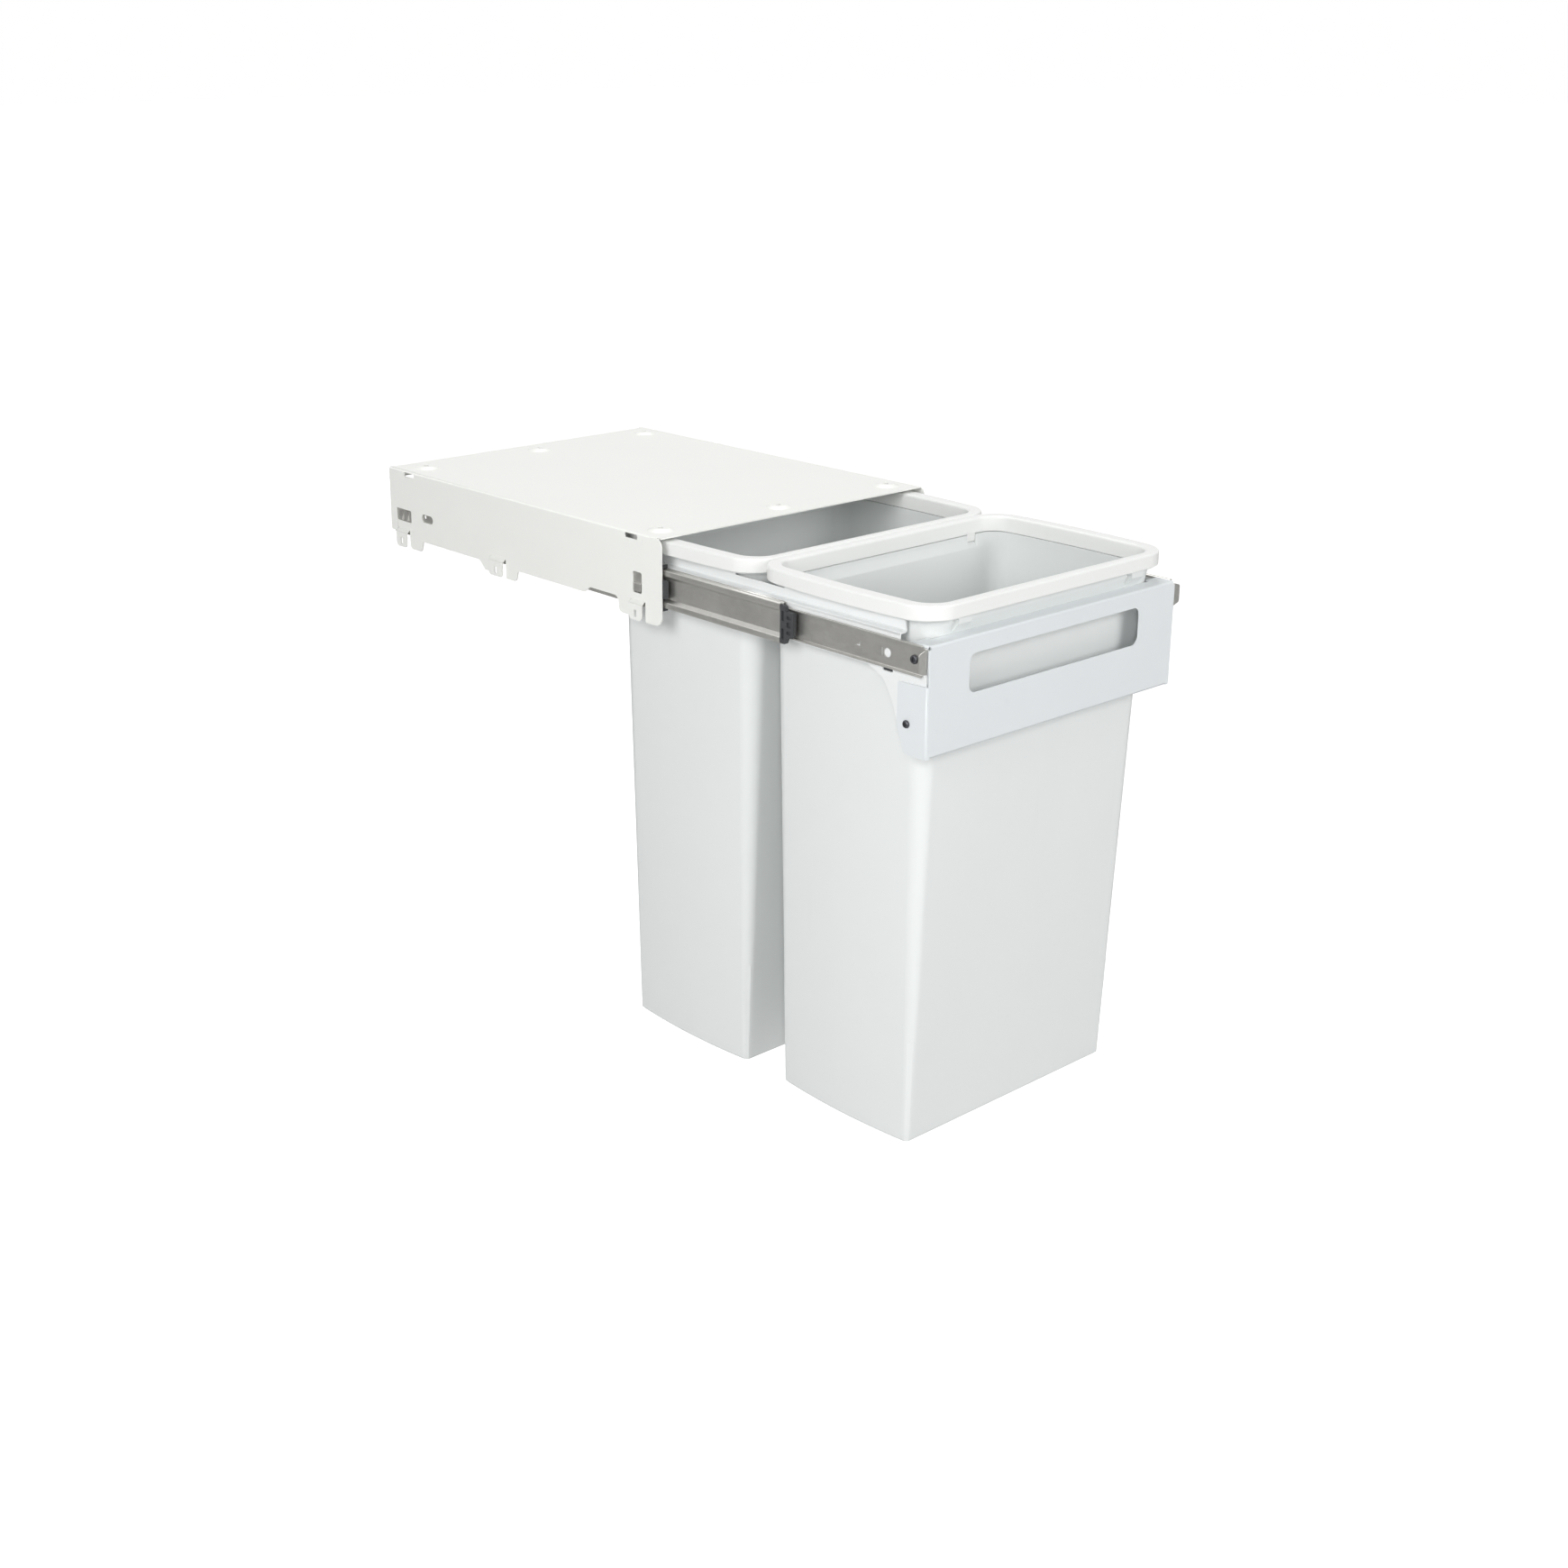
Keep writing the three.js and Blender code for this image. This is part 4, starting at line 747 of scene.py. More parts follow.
@dataclass
class Cover:
    """The folded sheet cover: top sheet, side plates with fixing tabs, and raised screw pads."""

    side_reach: float = 3.4
    fold_front: float = 5.2
    seam: float = 9.0
    rear_lip: float = 12.0
    ear: float = -82.0
    flag: float = -79.6
    edge: float = -70.9
    notch: float = -64.4
    back: float = -66.4
    tabs: tuple[Corner, ...] = ((21.4, 39.6), (237.25, 260.25), (405.8, 424.7))
    tab_top: float = -63.2
    tab_bottom: float = -81.2
    tab_jog: float = 3.6
    slit: float = 1.5
    pad_base: float = 13.5
    pad_top: float = 6.6
    pad_rise: float = 2.4
    pad_hole: float = 2.6

    def side_plate(self) -> Solid:
        """Returns the left side plate with its windows."""
        depth = LEVELS.depth
        front, middle, back = self.tabs
        lobes = [tab[0] - self.slit for tab in self.tabs]
        outline = [
            (depth, -self.seam), (depth, self.back, 2), (back[1] + self.slit, self.back, 1),
            (back[1], self.back), (lobes[2], self.back), (lobes[2], self.ear, 5),
            (lobes[2] - 21, self.ear, 5), (lobes[2] - 24, self.edge, 3),
            (middle[1] + 20, self.edge, 6), (middle[1] + 11, self.flag, 3),
            (middle[1], self.flag), (lobes[1], self.flag), (lobes[1], self.ear, 5),
            (lobes[1] - 17, self.ear, 5), (lobes[1] - 20, self.edge, 3),
            (front[1] + 71, self.edge, 5), (front[1] + 62, self.notch, 3),
            (front[1] + 19.4, self.notch, 6), (front[1] + 19.4, self.flag, 6),
            (front[1], self.flag), (lobes[0], self.flag), (lobes[0], self.ear, 5),
            (-self.side_reach, self.ear, 9), (-self.side_reach, -0.5, 8.6), (12, -0.5),
            (12, -self.seam),
        ]
        windows = [
            box_corners((25, 37.8), (-56.2, -36.2), 2),
            box_corners((depth - 77.3, depth - 57.3), (-49.6, -41.2), 4.1),
            box_corners((depth - 37.9, depth - 10.8), (-54.6, -41.6), 1.6),
        ]
        return Solid.plate(Axis.X, -LEVELS.half_width, -LEVELS.wall, outline, windows)

    def fixing_tab(self, span: Corner) -> Solid:
        """Returns one jogged tab with its upright screw slot."""
        middle = LEVELS.half_width - LEVELS.sheet / 2
        outside = middle + self.tab_jog
        tab = Solid.folded(Axis.Y, span[0], span[1], [
            (-middle, self.tab_top + 3), (-middle, self.tab_top, 0.8),
            (-outside, self.tab_top - 2.6, 0.8), (-outside, self.tab_bottom)], LEVELS.sheet)
        centre = (span[0] + span[1]) / 2
        outline = [(span[0], self.tab_top + 5), (span[0], self.tab_bottom, 4.5),
                   (span[1], self.tab_bottom, 4.5), (span[1], self.tab_top + 5)]
        slot = box_corners((centre - 1.8, centre + 1.8), (-78.4, -71.2), 1.8)
        return tab.keep(Solid.plate(Axis.X, -181, -169, outline, [slot]))

    def pad(self, x: float, y: float) -> tuple[Solid, Solid, Solid]:
        """Returns a pad's raised outside, the hollow under it, and its screw hole."""
        rise, sheet = self.pad_rise, LEVELS.sheet
        low, crest = self.pad_base - 0.8, self.pad_top + 1.4
        spread = (low - crest) / rise
        under = rise - sheet
        outside = Solid.turned(Axis.Z, (x, y), [
            (0, -0.6), (low + 0.6 * spread, -0.6), (crest, rise, 1.2), (0, rise)], steps=48)
        hollow = Solid.turned(Axis.Z, (x, y), [
            (0, -3), (crest - 1.6 + (under + 3) * spread, -3), (crest - 1.6, under, 1), (0, under)],
            steps=48)
        hole = Solid.turned(Axis.Z, (x, y), [(0, -1), (self.pad_hole, -1), (self.pad_hole, 4), (0, 4)])
        return outside, hollow, hole

    def build(self, shop: Workshop) -> None:
        """Builds and places the cover."""
        depth, half, sheet = LEVELS.depth, LEVELS.half_width, LEVELS.sheet
        middle = half - sheet / 2
        shell = Solid.folded(Axis.Y, self.fold_front, depth, [
            (-middle, -self.seam - 3), (-middle, -sheet / 2, LEVELS.fold),
            (middle, -sheet / 2, LEVELS.fold), (middle, -self.seam - 3)], sheet)
        plate = self.side_plate()
        shell.join(Solid.block((-half + 2.2, half - 2.2), (0, self.fold_front + 2), (-sheet, 0)),
                   plate, plate.mirrored())
        slots = [Solid.plate(Axis.X, -half - 1, half + 1, box_corners((y, y + 18), (-6.2, -1.7), 1.6))
                 for y in (30.7, depth - 45.5)]
        slits = [Solid.block((-half - 1, half + 1), (tab[0] - self.slit, tab[1] + self.slit),
                             (self.ear - 5, self.tab_top)) for tab in self.tabs]
        strip = Solid.block((-half + 6, half - 6), (depth - 4, depth + 1), (-self.seam, 1))
        shell.cut(strip, *slots, *slits)
        lip = Solid.folded(Axis.X, -half + 6, half - 6, [
            (self.fold_front + 3, -sheet / 2), (depth - sheet / 2, -sheet / 2, LEVELS.fold),
            (depth - sheet / 2, -self.rear_lip)], sheet)
        places = [(x, y) for x in (-148, 0, 148) for y in (26.5, depth - 32)]
        pads = [self.pad(x, y) for x, y in places]
        tabs = [self.fixing_tab(tab) for tab in self.tabs]
        shell.join(lip, *tabs, *[tab.mirrored() for tab in tabs])
        shell.join(*[pad[0] for pad in pads])
        shell.cut(*[part for pad in pads for part in pad[1:]])
        shop.place(shell, "cover", "cover_powder_coat")


@dataclass
class BallSlide:
    """One pair of telescopic ball slides, drawn for the left side.

    Sections are drawn inwards from the cover's side plate: the first number is the distance
    from that plate and the second the height over the slide's centre line.
    """

    sheet: float = 1.1
    race: float = 16.35
    outer_half: float = 22.2
    crest: float = 18.0
    near_web: float = 2.95
    far_web: float = 5.9
    inner_tip: float = 7.5
    inner_web: float = 10.8
    inner_half: float = 13.3
    front: float = 2.0
    middle_front: float = -155.7
    member_length: float = 400.0

    def section(self, path: Sequence[Corner], sheet: float, y: float, length: float) -> Solid:
        """Returns a folded strip that follows a drawn section."""
        placed = [(-LEVELS.wall + c[0], LEVELS.slide_z + c[1], *c[2:]) for c in path]
        return Solid.folded(Axis.Y, y, y + length, placed, sheet, segments=4)

    def through(self, corners: Sequence[Corner]) -> Solid:
        """Returns a cutter that goes through the slide's whole depth."""
        return Solid.plate(Axis.X, -LEVELS.wall - 0.1, -LEVELS.rail_face + 0.1, corners)

    def outer(self) -> Solid:
        """Returns the outer member, fixed to the side plate by its hook and beads."""
        sheet, z, wall = self.sheet, LEVELS.slide_z, LEVELS.wall
        top = self.outer_half - sheet / 2
        web = LEVELS.fit + sheet / 2
        length = LEVELS.depth - 4.5 - self.front
        body = self.section(symmetric([(8.6, top - 2.6), (8.85, top, 0.9), (web, top, 1.2)]),
                            sheet, self.front, length)
        hook_y = (26.6, 36.2)
        hook = Solid.folded(Axis.Y, *hook_y, [
            (-wall + web, z + 2.9), (-wall + web, z + 0.4, 0.6), (-wall - 0.6, z - 0.8, 0.6),
            (-wall - 0.6, -55.0)], sheet)
        centre = self.front + length / 2
        body.cut(
            self.through(box_corners((25.8, 37), (-57.2, z + 0.2), 0.8)),
            self.through(round_corners(LEVELS.depth - 61.3, -44.2, 2.1)),
            self.through(box_corners((centre - 7, centre + 7), (z - 2.2, z + 2.2), 2.1)))
        beads = [Solid.block((-wall - 0.5, -wall + web), (y - 1.1, y + 1.1), (-53.4, -42.8))
                 for y in (408.73, 418.49)]
        stop_y = self.front + length - 8
        stop = Solid.block((-wall + LEVELS.fit, -wall + self.far_web), (stop_y, stop_y + sheet),
                           (z - 6, z + 6))
        return body.join(hook, *beads, stop)

    def middle(self) -> Solid:
        """Returns the middle member with its two ridges."""
        crest = self.crest - self.sheet / 2
        body = self.section(symmetric([
            (9.9, self.race - 1.4), (9.9, crest + 0.1, 0.8), (7.9, crest + 0.1, 0.8),
            (7.0, self.race, 0.8), (self.near_web + 2.15, self.race, 0.8),
            (self.near_web + 1.2, crest, 0.7), (self.near_web, crest, 0.7),
            (self.near_web, 12.8, 0.6), (self.far_web, 9.7, 0.6)]),
            self.sheet, self.middle_front, self.member_length)
        z = LEVELS.slide_z
        return body.cut(*[self.through(box_corners((y - 6, y + 6), (z - 2, z + 2), 1.9))
                          for y in (self.middle_front + 200, self.middle_front + 320)])

    def inner(self) -> Solid:
        """Returns the inner member with its turned-out front tab."""
        sheet, z, front, wall = self.sheet, LEVELS.slide_z, LEVELS.inner_front, LEVELS.wall
        start = 4.5
        body = self.section(symmetric([
            (self.inner_tip, self.inner_half - sheet / 2),
            (self.inner_web, self.inner_half - sheet / 2, 1)]),
            sheet, front + start, self.member_length - start)
        tip, root = -wall + 1, -wall + self.inner_web
        tab = Solid.folded(Axis.Z, z - 10.4, z + 10.4, [
            (tip, front + sheet / 2), (root, front + sheet / 2, 1.2), (root, front + start + 1)],
            sheet)
        tab.keep(Solid.plate(Axis.Y, front - 1, front + start + 2, [
            (tip, z - 8, 2.5), (root - 2, z - 10.4, 2), (root + sheet, z - 10.4),
            (root + sheet, z + 10.4), (root - 2, z + 10.4, 2), (tip, z + 8, 2.5)]))
        tongue, peg, centre = front + 75.6, front + 44.3, front + 200
        body.join(tab)
        return body.cut(
            *[self.through(round_corners(y, z, LEVELS.screw_hole))
              for y in LEVELS.slide_screws.values()],
            self.through(round_corners(peg, z - 1.2, 4.1)),
            self.through(box_corners((peg + 5.4, peg + 7), (z - 5.2, z + 2.6), 0.6)),
            self.through([(tongue, z - 2.6), (tongue + 5, z - 2.6), (tongue + 5, z - 1.2),
                          (tongue + 1.6, z - 1.2), (tongue + 1.6, z + 1.2), (tongue, z + 1.2)]),
            self.through(box_corners((centre - 7, centre + 7), (z - 2.2, z + 2.2), 2.1)))

    def cage(self, start: float, pitch: float, count: int, web: float, reach: float,
             ball_at: float, height: float, diameter: float) -> Solid:
        """Returns a ball cage.

        Args:
            start: Where the strip starts along Y.
            pitch: The distance between balls.
            count: How many balls lie in each race.
            web: The place of the strip's web.
            reach: How far its flanges reach.
            ball_at: The place of the balls.
            height: Their height over the centre line.
            diameter: Their diameter.

        Returns:
            The strip with its windows and balls.
        """
        z = LEVELS.slide_z
        strip = self.section(symmetric([(reach, height), (web, height, 0.5)]), 0.5, start,
                             (count - 1) * pitch + 14)
        ys = [start + 7 + index * pitch for index in range(count)]
        strip.cut(*[self.through(box_corners(
            (y - pitch * 0.3, y + pitch * 0.3), (z - height * 0.6, z + height * 0.6), 2))
            for y in ys[1:-1:2]])
        return strip.join(*[Solid.ball((-LEVELS.wall + ball_at, y, z + side * height), diameter)
                            for y in ys for side in (1, -1)])

    def buffer(self) -> Solid:
        """Returns the black end piece on the middle member, with its moulded pockets."""
        front = self.middle_front - LEVELS.fit
        z, tall, wall = LEVELS.slide_z, self.crest - 0.4, LEVELS.wall
        cheek = [(front, z - tall, 1), (front, z + tall - 1, 1), (front - 5.9, z + tall - 1.6, 1),
                 (front - 6.7, z + 11.6, 1), (front - 16.2, z + 11.2, 1),
                 (front - 16.2, z - 10.4, 1), (front - 8.7, z - 11.2, 2),
                 (front - 6.3, z - tall, 1.5)]
        body = Solid.plate(Axis.X, -wall + 2.6, -wall + self.far_web + 0.7, cheek)
        near, far = (front - 13.2, front - 8.2), (front - 5, front - 2)
        pockets = [(near, (-2.2, 2.4)), (near, (5, 8)), (near, (-8.4, -5.4)),
                   (far, (-13.6, -4)), (far, (2.6, 11.6))]
        return body.cut(*[Solid.plate(
            Axis.X, -wall, -wall + self.far_web - 1.5,
            box_corners(y, (z + b[0], z + b[1]), 0.8)) for y, b in pockets])

    def mouth_guide(self) -> Solid:
        """Returns the black guide block at the mouth of the outer member."""
        z, wall, back = LEVELS.slide_z, LEVELS.wall, self.front - LEVELS.fit
        high, nose = self.outer_half - 0.6, -9.8
        cheek = Solid.plate(Axis.X, -wall + LEVELS.fit, -wall + 2.05, [
            (back, z - high, 1), (back, z + high, 1), (-0.6, z + high, 1), (-0.6, z + 9.4, 1),
            (nose, z + 9.4, 2), (nose, z - 8.4, 2), (-0.6, z - 8.4, 1), (-0.6, z - high, 1)])
        runners = [Solid.block((-wall + LEVELS.fit, -wall + 8.8), (-0.6, back), span)
                   for span in ((z + self.crest + 0.5, z + high), (z - high, z - self.crest - 0.5))]
        return cheek.join(*runners)

    def build(self, shop: Workshop) -> None:
        """Builds and places both slides."""
        shop.place_pair(self.outer(), "slide_outer", "slide_zinc", 0.12)
        shop.place_pair(self.middle(), "slide_middle", "slide_zinc", 0.12)
        shop.place_pair(self.inner(), "slide_inner", "slide_zinc", 0.12)
        outer_cage = self.cage(32, 35, 6, 1.9, self.near_web + 4.6, self.near_web + 3, 19.0, 4)
        inner_cage = self.cage(-106, 44, 4, 6.95, self.inner_tip + 1.6, self.inner_tip + 0.6,
                               14.55, 2.3)
        shop.place_pair(outer_cage, "ball_cage_outer", "cage_zinc", 0.0)
        shop.place_pair(inner_cage, "ball_cage_inner", "cage_zinc", 0.0)
        shop.place_pair(self.buffer(), "slide_buffer", BLACK, 0.2)
        shop.place_pair(self.mouth_guide(), "mouth_guide", BLACK, 0.2)


@dataclass
class PanScrews:
    """Pan-head screws with a cross recess, along X."""

    head: float = 2.2
    shank: float = 1.9
    slide_head: float = 3.9
    panel_head: float = 3.4
    tip: float = -155.15

    def screw(self, seat: float, y: float, z: float, radius: float) -> Solid:
        """Returns one screw whose head lies on the face at `seat`."""
        top = seat - self.head
        body = Solid.turned(Axis.X, (y, z), [
            (0, top), (radius * 0.8, top, 1.0), (radius, (top + seat) / 2, 0.9), (radius, seat, 0.2),
            (self.shank, seat), (self.shank, self.tip, 0.4), (0, self.tip)], steps=32)
        arm = radius * 0.55
        recess = (top - 1, top + self.head / 2)
        return body.cut(Solid.block(recess, (y - arm, y + arm), (z - 0.5, z + 0.5)),
                        Solid.block(recess, (y - 0.5, y + 0.5), (z - arm, z + arm)))

    def build(self, shop: Workshop) -> None:
        """Builds and places all the screws."""
        seat = -LEVELS.rail_face - 1.1 - 2 * LEVELS.fit
        for name, y in LEVELS.slide_screws.items():
            shop.place_pair(self.screw(seat, y, LEVELS.slide_z, self.slide_head),
                            f"slide_screw_{name}", "screw_plating", 0.05)
        y, z = LEVELS.panel_screw
        shop.place_pair(self.screw(-161.95, y, z, self.panel_head), "panel_screw",
                        "screw_plating", 0.05)


@dataclass
class TrayFrame:
    """The tray: two side rails, a rear tie and the folded hand panel."""

    rail: float = 1.5
    ledge: float = -28.8
    upstand_x: float = 151.8
    upstand_top: float = -18.3
    lean: float = 1.4
    bottom: float = -62.5
    front: float = -288.5
    back: float = 112.1
    panel_half: float = 161.65
    flange_reach: float = 33.1

    @property
    def slot_y(self) -> float:
        """Where the slot under the slide starts along Y."""
        return LEVELS.inner_front + 38.8

    def slot_dark_pad(self) -> Solid:
        """Returns a black pad behind the slot in the left rail, which makes the slot show dark."""
        inside = -LEVELS.rail_face + self.rail
        return Solid.plate(Axis.X, inside, inside + 2.4, box_corners(
            (self.slot_y - 1.5, self.slot_y + 13.1), (self.bottom - 4, self.bottom + 3.6), 1.5))

    def side_rail(self) -> Solid:
        """Returns the left rail with its ledge, upstand and front gusset."""
        middle = LEVELS.rail_face - self.rail / 2
        screw_y, screw_z = LEVELS.panel_screw
        nose, nose_top = LEVELS.panel_face + 2.5, LEVELS.panel_top - 2.8
        low = LEVELS.panel_bottom
        web = [
            (self.back, self.bottom, 2), (self.back, self.ledge - 6), (self.front, self.ledge - 6),
            (self.front, nose_top), (nose, nose_top, 1), (nose, low + 2.2, 2),
            (screw_y - 0.8, low + 1.2, 2), (screw_y + 3.6, low + 4, 3),
            (self.front - 0.1, low + 24, 30), (self.front + 7, (low + 2 * self.bottom) / 3 - 3, 30),
            (self.front + 16.5, self.bottom - 9, 14), (self.front + 35.5, self.bottom, 14)]
        slot_y = self.slot_y
        holes = [
            *[round_corners(y, LEVELS.slide_z, LEVELS.screw_hole)
              for y in LEVELS.slide_screws.values()],
            round_corners(screw_y, screw_z, LEVELS.screw_hole)]
        rail = Solid.plate(Axis.X, -LEVELS.rail_face, -LEVELS.rail_face + self.rail, web,
                           segments=9)
        rail.join(Solid.folded(Axis.Y, self.front, self.back, [
            (-middle, self.bottom + 4), (-middle, self.ledge - self.rail / 2, 1.6),
            (-self.upstand_x, self.ledge + 0.4 - self.rail / 2, 1.6),
            (-self.upstand_x - self.lean, self.upstand_top)], self.rail))
        gap = (LEVELS.front_bucket + LEVELS.rear_bucket) / 2 - 4
        dip = Solid.plate(Axis.X, -LEVELS.rail_face, -self.upstand_x + 3, [
            (gap - 32, self.upstand_top + 2), (gap - 32, self.upstand_top - 2.2, 1.2),
            (gap + 32, self.upstand_top - 2.2, 1.2), (gap + 32, self.upstand_top + 2)])
        slot = box_corners((slot_y, slot_y + 11.6), (self.bottom - 1.6, self.bottom + 1.2), 0.8)
        cutters = [Solid.plate(Axis.X, -LEVELS.rail_face - 1, -middle + self.rail, corners)
                   for corners in (*holes, slot)]
        return rail.cut(dip, *cutters)

    def rear_tie(self) -> Solid:
        """Returns the channel across the tray behind the rear bucket."""
        back, top, bottom = self.back - 1, self.ledge - 7, self.bottom + 2.5
        inside = LEVELS.rail_face - self.rail - LEVELS.fit
        tie = Solid.folded(Axis.X, -inside, inside, [
            (back - 8, top), (back, top, 1.4), (back, bottom, 1.4), (back - 8, bottom)],
            LEVELS.sheet)
        lug = Solid.plate(Axis.X, -inside, -inside + LEVELS.sheet,
                          box_corners((back - 18, back), (bottom + 3, top - 3), 2))
        return tie.join(lug, lug.mirrored())

    def hand_panel(self) -> Solid:
        """Returns the folded front panel with its hand slot and side flanges."""
        sheet, front, fold = LEVELS.sheet, LEVELS.panel_face, LEVELS.fold
        top, low, half = LEVELS.panel_top, LEVELS.panel_bottom, self.panel_half
        face = front + sheet / 2
        panel = Solid.folded(Axis.X, -half + 3, half - 3, [
            (front + 14.3, top - sheet / 2), (face, top - sheet / 2, fold),
            (face, low + sheet / 2, fold), (front + 11, low + sheet / 2)], sheet)
        edge = Solid.block((-half + 1, half - 1), (front, front + sheet), (low + 2, top - 3.4))
        flange_top = top - 34.6
        back = front + self.flange_reach
        screw_y, screw_z = LEVELS.panel_screw
        flange = Solid.folded(Axis.Z, low, flange_top, [
            (-half + 5, face), (-half + sheet / 2, face, fold), (-half + sheet / 2, back + 2)],
            sheet)
        flange.keep(Solid.plate(Axis.X, -half - 1, -half + 8, [
            (front - 1, flange_top), (back, flange_top - 1.6, 1.5), (back, low + 22.5, 2),
            (back - 8, low + 1.4, 3), (screw_y - 0.5, low, 3), (front - 1, low)]))
        ear_x = -LEVELS.rail_face + LEVELS.fit + sheet / 2
        ear = Solid.folded(Axis.Y, front + 2.4, front + 19, [
            (ear_x + 16, top - sheet / 2), (ear_x, top - sheet / 2, fold), (ear_x, top - 2.4)],
            sheet)
        panel.join(edge, flange, flange.mirrored(), ear, ear.mirrored())
        slot = Solid.plate(Axis.Y, front - 3, front + 3, box_corners(
            (-111.5, 111.5), (top - 49.9, top - 15.5), 8), segments=12)
        hole = Solid.plate(Axis.X, -half - 2, half + 2,
                           round_corners(screw_y, screw_z, LEVELS.screw_hole))
        return panel.cut(slot, hole)

    def build(self, shop: Workshop) -> None:
        """Builds and places the tray's sheet parts."""
        shop.place_pair(self.side_rail(), "tray_rail", "rail_powder_coat")
        # A black pad behind each rail's slot, which makes the slot show dark.
        shop.place_pair(self.slot_dark_pad(), "tray_rail", BLACK, suffix="stop")
        shop.place(self.rear_tie(), "tray_tie", "rail_powder_coat")
        shop.place(self.hand_panel(), "hand_panel", "panel_powder_coat")


@dataclass
class Bucket:
    """One tapered bucket with its clip-on liner collar, drawn about its own middle."""

    rim: Corner = (154.2, 102.7)
    rim_radius: float = 26.5
    neck: Corner = (147.2, 97.7)
    neck_radius: float = 22.0
    neck_bow: float = 3.4
    shoulder: Corner = (147.2, 93.2)
    shoulder_radius: float = 18.0
    shoulder_z: float = -32.0
    floor: Corner = (134.4, 79.8)
    floor_radius: float = 6.0
    floor_bow: float = 4.6
    floor_z: float = -505.2
    lean: float = 4.4
    wall: float = 2.3
    lip_wall: float = 1.9
    collar: Corner = (156.6, 105.1)
    collar_radius: float = 28.7
    bow: float = 6.4
    opening: Corner = (144.0, 94.6)
    opening_radius: float = 20.0
    collar_bottom: float = -16.6
    collar_top: float = -3.9
    collar_wall: float = 1.8
    skirt: float = 14.0
    clip_x: float = 112.7
    clip_reach: float = 4.6
    clip_height: float = 14.4
    strip_height: float = 100.6

    def body_ring(self, z: float, inset: float) -> Ring:
        """Returns the body's ring at a height, moved inwards."""
        share = (z - self.floor_z) / (self.shoulder_z - self.floor_z)
        half = [low + (high - low) * share for low, high in zip(self.floor, self.shoulder)]
        radius = self.floor_radius + (self.shoulder_radius - self.floor_radius) * share
        bow = self.floor_bow + (self.neck_bow - self.floor_bow) * share
        return Ring(half[0], half[1], radius, z, bow, self.lean * (1 - share)).grown(-inset)

    def wedge(self, side: int, x: float, inset: float) -> Solid:
        """Returns the wedge of one clip pocket, or its inside where it is inset."""
        wall, top = self.neck[1], LEVELS.rim_under + 2
        bottom = LEVELS.rim_under - self.clip_height + inset
        outline = [(side * (wall - 8), top), (side * (wall + self.clip_reach - inset), top),
                   (side * (wall + self.clip_reach - inset), top - 7, 1.5),
                   (side * (self.shoulder[1] - inset), bottom), (side * (wall - 8), bottom)]
        half = 8 - inset
        return Solid.plate(Axis.X, x - half, x + half, outline)

    def corner_strip(self, sx: int, sy: int) -> Solid:
        """Returns the raised strip down one lower corner."""
        mesh = bmesh.new()
        loops = []
        for z, proud in ((self.floor_z + 1, 0.6), (self.floor_z + self.strip_height, 0.6),
                         (self.floor_z + self.strip_height + 1.2, -0.6)):
            ring = self.body_ring(z, 0)
            spread = 1.9 / self.floor_radius
            corners = []
            for turn, rise in ((-1, -1.0), (-1, proud), (1, proud), (1, -1.0)):
                angle = math.pi / 4 + turn * spread
                reach = ring.radius + rise
                corners.append(mesh.verts.new((
                    sx * (ring.half_x - ring.radius + reach * math.cos(angle)),
                    sy * (ring.half_y - ring.radius + reach * math.sin(angle)) + ring.shift, z)))
            face = mesh.faces.new(corners)
            loops.append(list(face.edges))
        bmesh.ops.delete(mesh, geom=list(mesh.faces), context="FACES_ONLY")
        for low, high in zip(loops, loops[1:]):
            bmesh.ops.bridge_loops(mesh, edges=low + high)
        bmesh.ops.edgeloop_fill(mesh, edges=loops[0])
        bmesh.ops.edgeloop_fill(mesh, edges=loops[-1])
        return Solid(mesh).closed()

    @property
    def clips(self) -> list[tuple[int, float]]:
        """The wall and the place across of each clip."""
        return [(side, x) for side in (-1, 1) for x in (-self.clip_x, self.clip_x)]

    def body(self) -> Solid:
        """Returns the bucket."""
        under, rim_top = LEVELS.rim_under, LEVELS.rim_under + 2.2
        floor, shoulder = self.floor_z, self.shoulder_z

        def neck(z: float) -> Ring:
            """Returns the neck's ring at a height."""
            return Ring(*self.neck, self.neck_radius, z, self.neck_bow)

        def rim(z: float, by: float = 0.0) -> Ring:
            """Returns the rim's ring at a height."""
            return Ring(*self.rim, self.rim_radius, z, self.bow).grown(by)

        lip = self.collar_top - self.collar_wall - LEVELS.fit
        levels = [floor - 0 + (shoulder - floor) * share for share in (0.25, 0.5, 0.75)]
        outer = Solid.loft([
            self.body_ring(floor, 3.2), self.body_ring(floor + 0.5, 1.2),
            self.body_ring(floor + 1.8, 0.3), self.body_ring(floor + 3.4, 0),
            *[self.body_ring(z, 0) for z in levels],
            self.body_ring(shoulder - 1, 0), neck(under - 5).grown(-0.4), neck(under - 4), neck(under),
            rim(under + 0.01, -0.3), rim(under + 0.3), rim(under + 1.9), rim(rim_top, -0.3),
            neck(rim_top + 0.01), neck(lip - 0.4), neck(lip).grown(-0.4)])
        step = self.collar_top - self.skirt - 0.9
        ledge = Ring(self.opening[0] - 0.4, self.opening[1] - 1.2, self.neck_radius - 3, step,
                     self.neck_bow)
        inside = neck(step + 0.01).grown(-self.lip_wall)
        inner = Solid.loft([
            self.body_ring(floor + 3, self.wall + 6), self.body_ring(floor + 4.2, self.wall + 2),
            self.body_ring(floor + 7, self.wall), *[self.body_ring(z, self.wall) for z in levels],
            self.body_ring(shoulder, self.wall), ledge.grown(0, step - 5), ledge, inside,
            inside.grown(0, self.collar_top)])
        height = (shoulder - 20, under + 1)
        bounds = [Solid.block((-160, 160), (-220, 220), height) for _ in range(4)]
        wedges = [self.wedge(side, x, 0).keep(bound)
                  for (side, x), bound in zip(self.clips, bounds)]
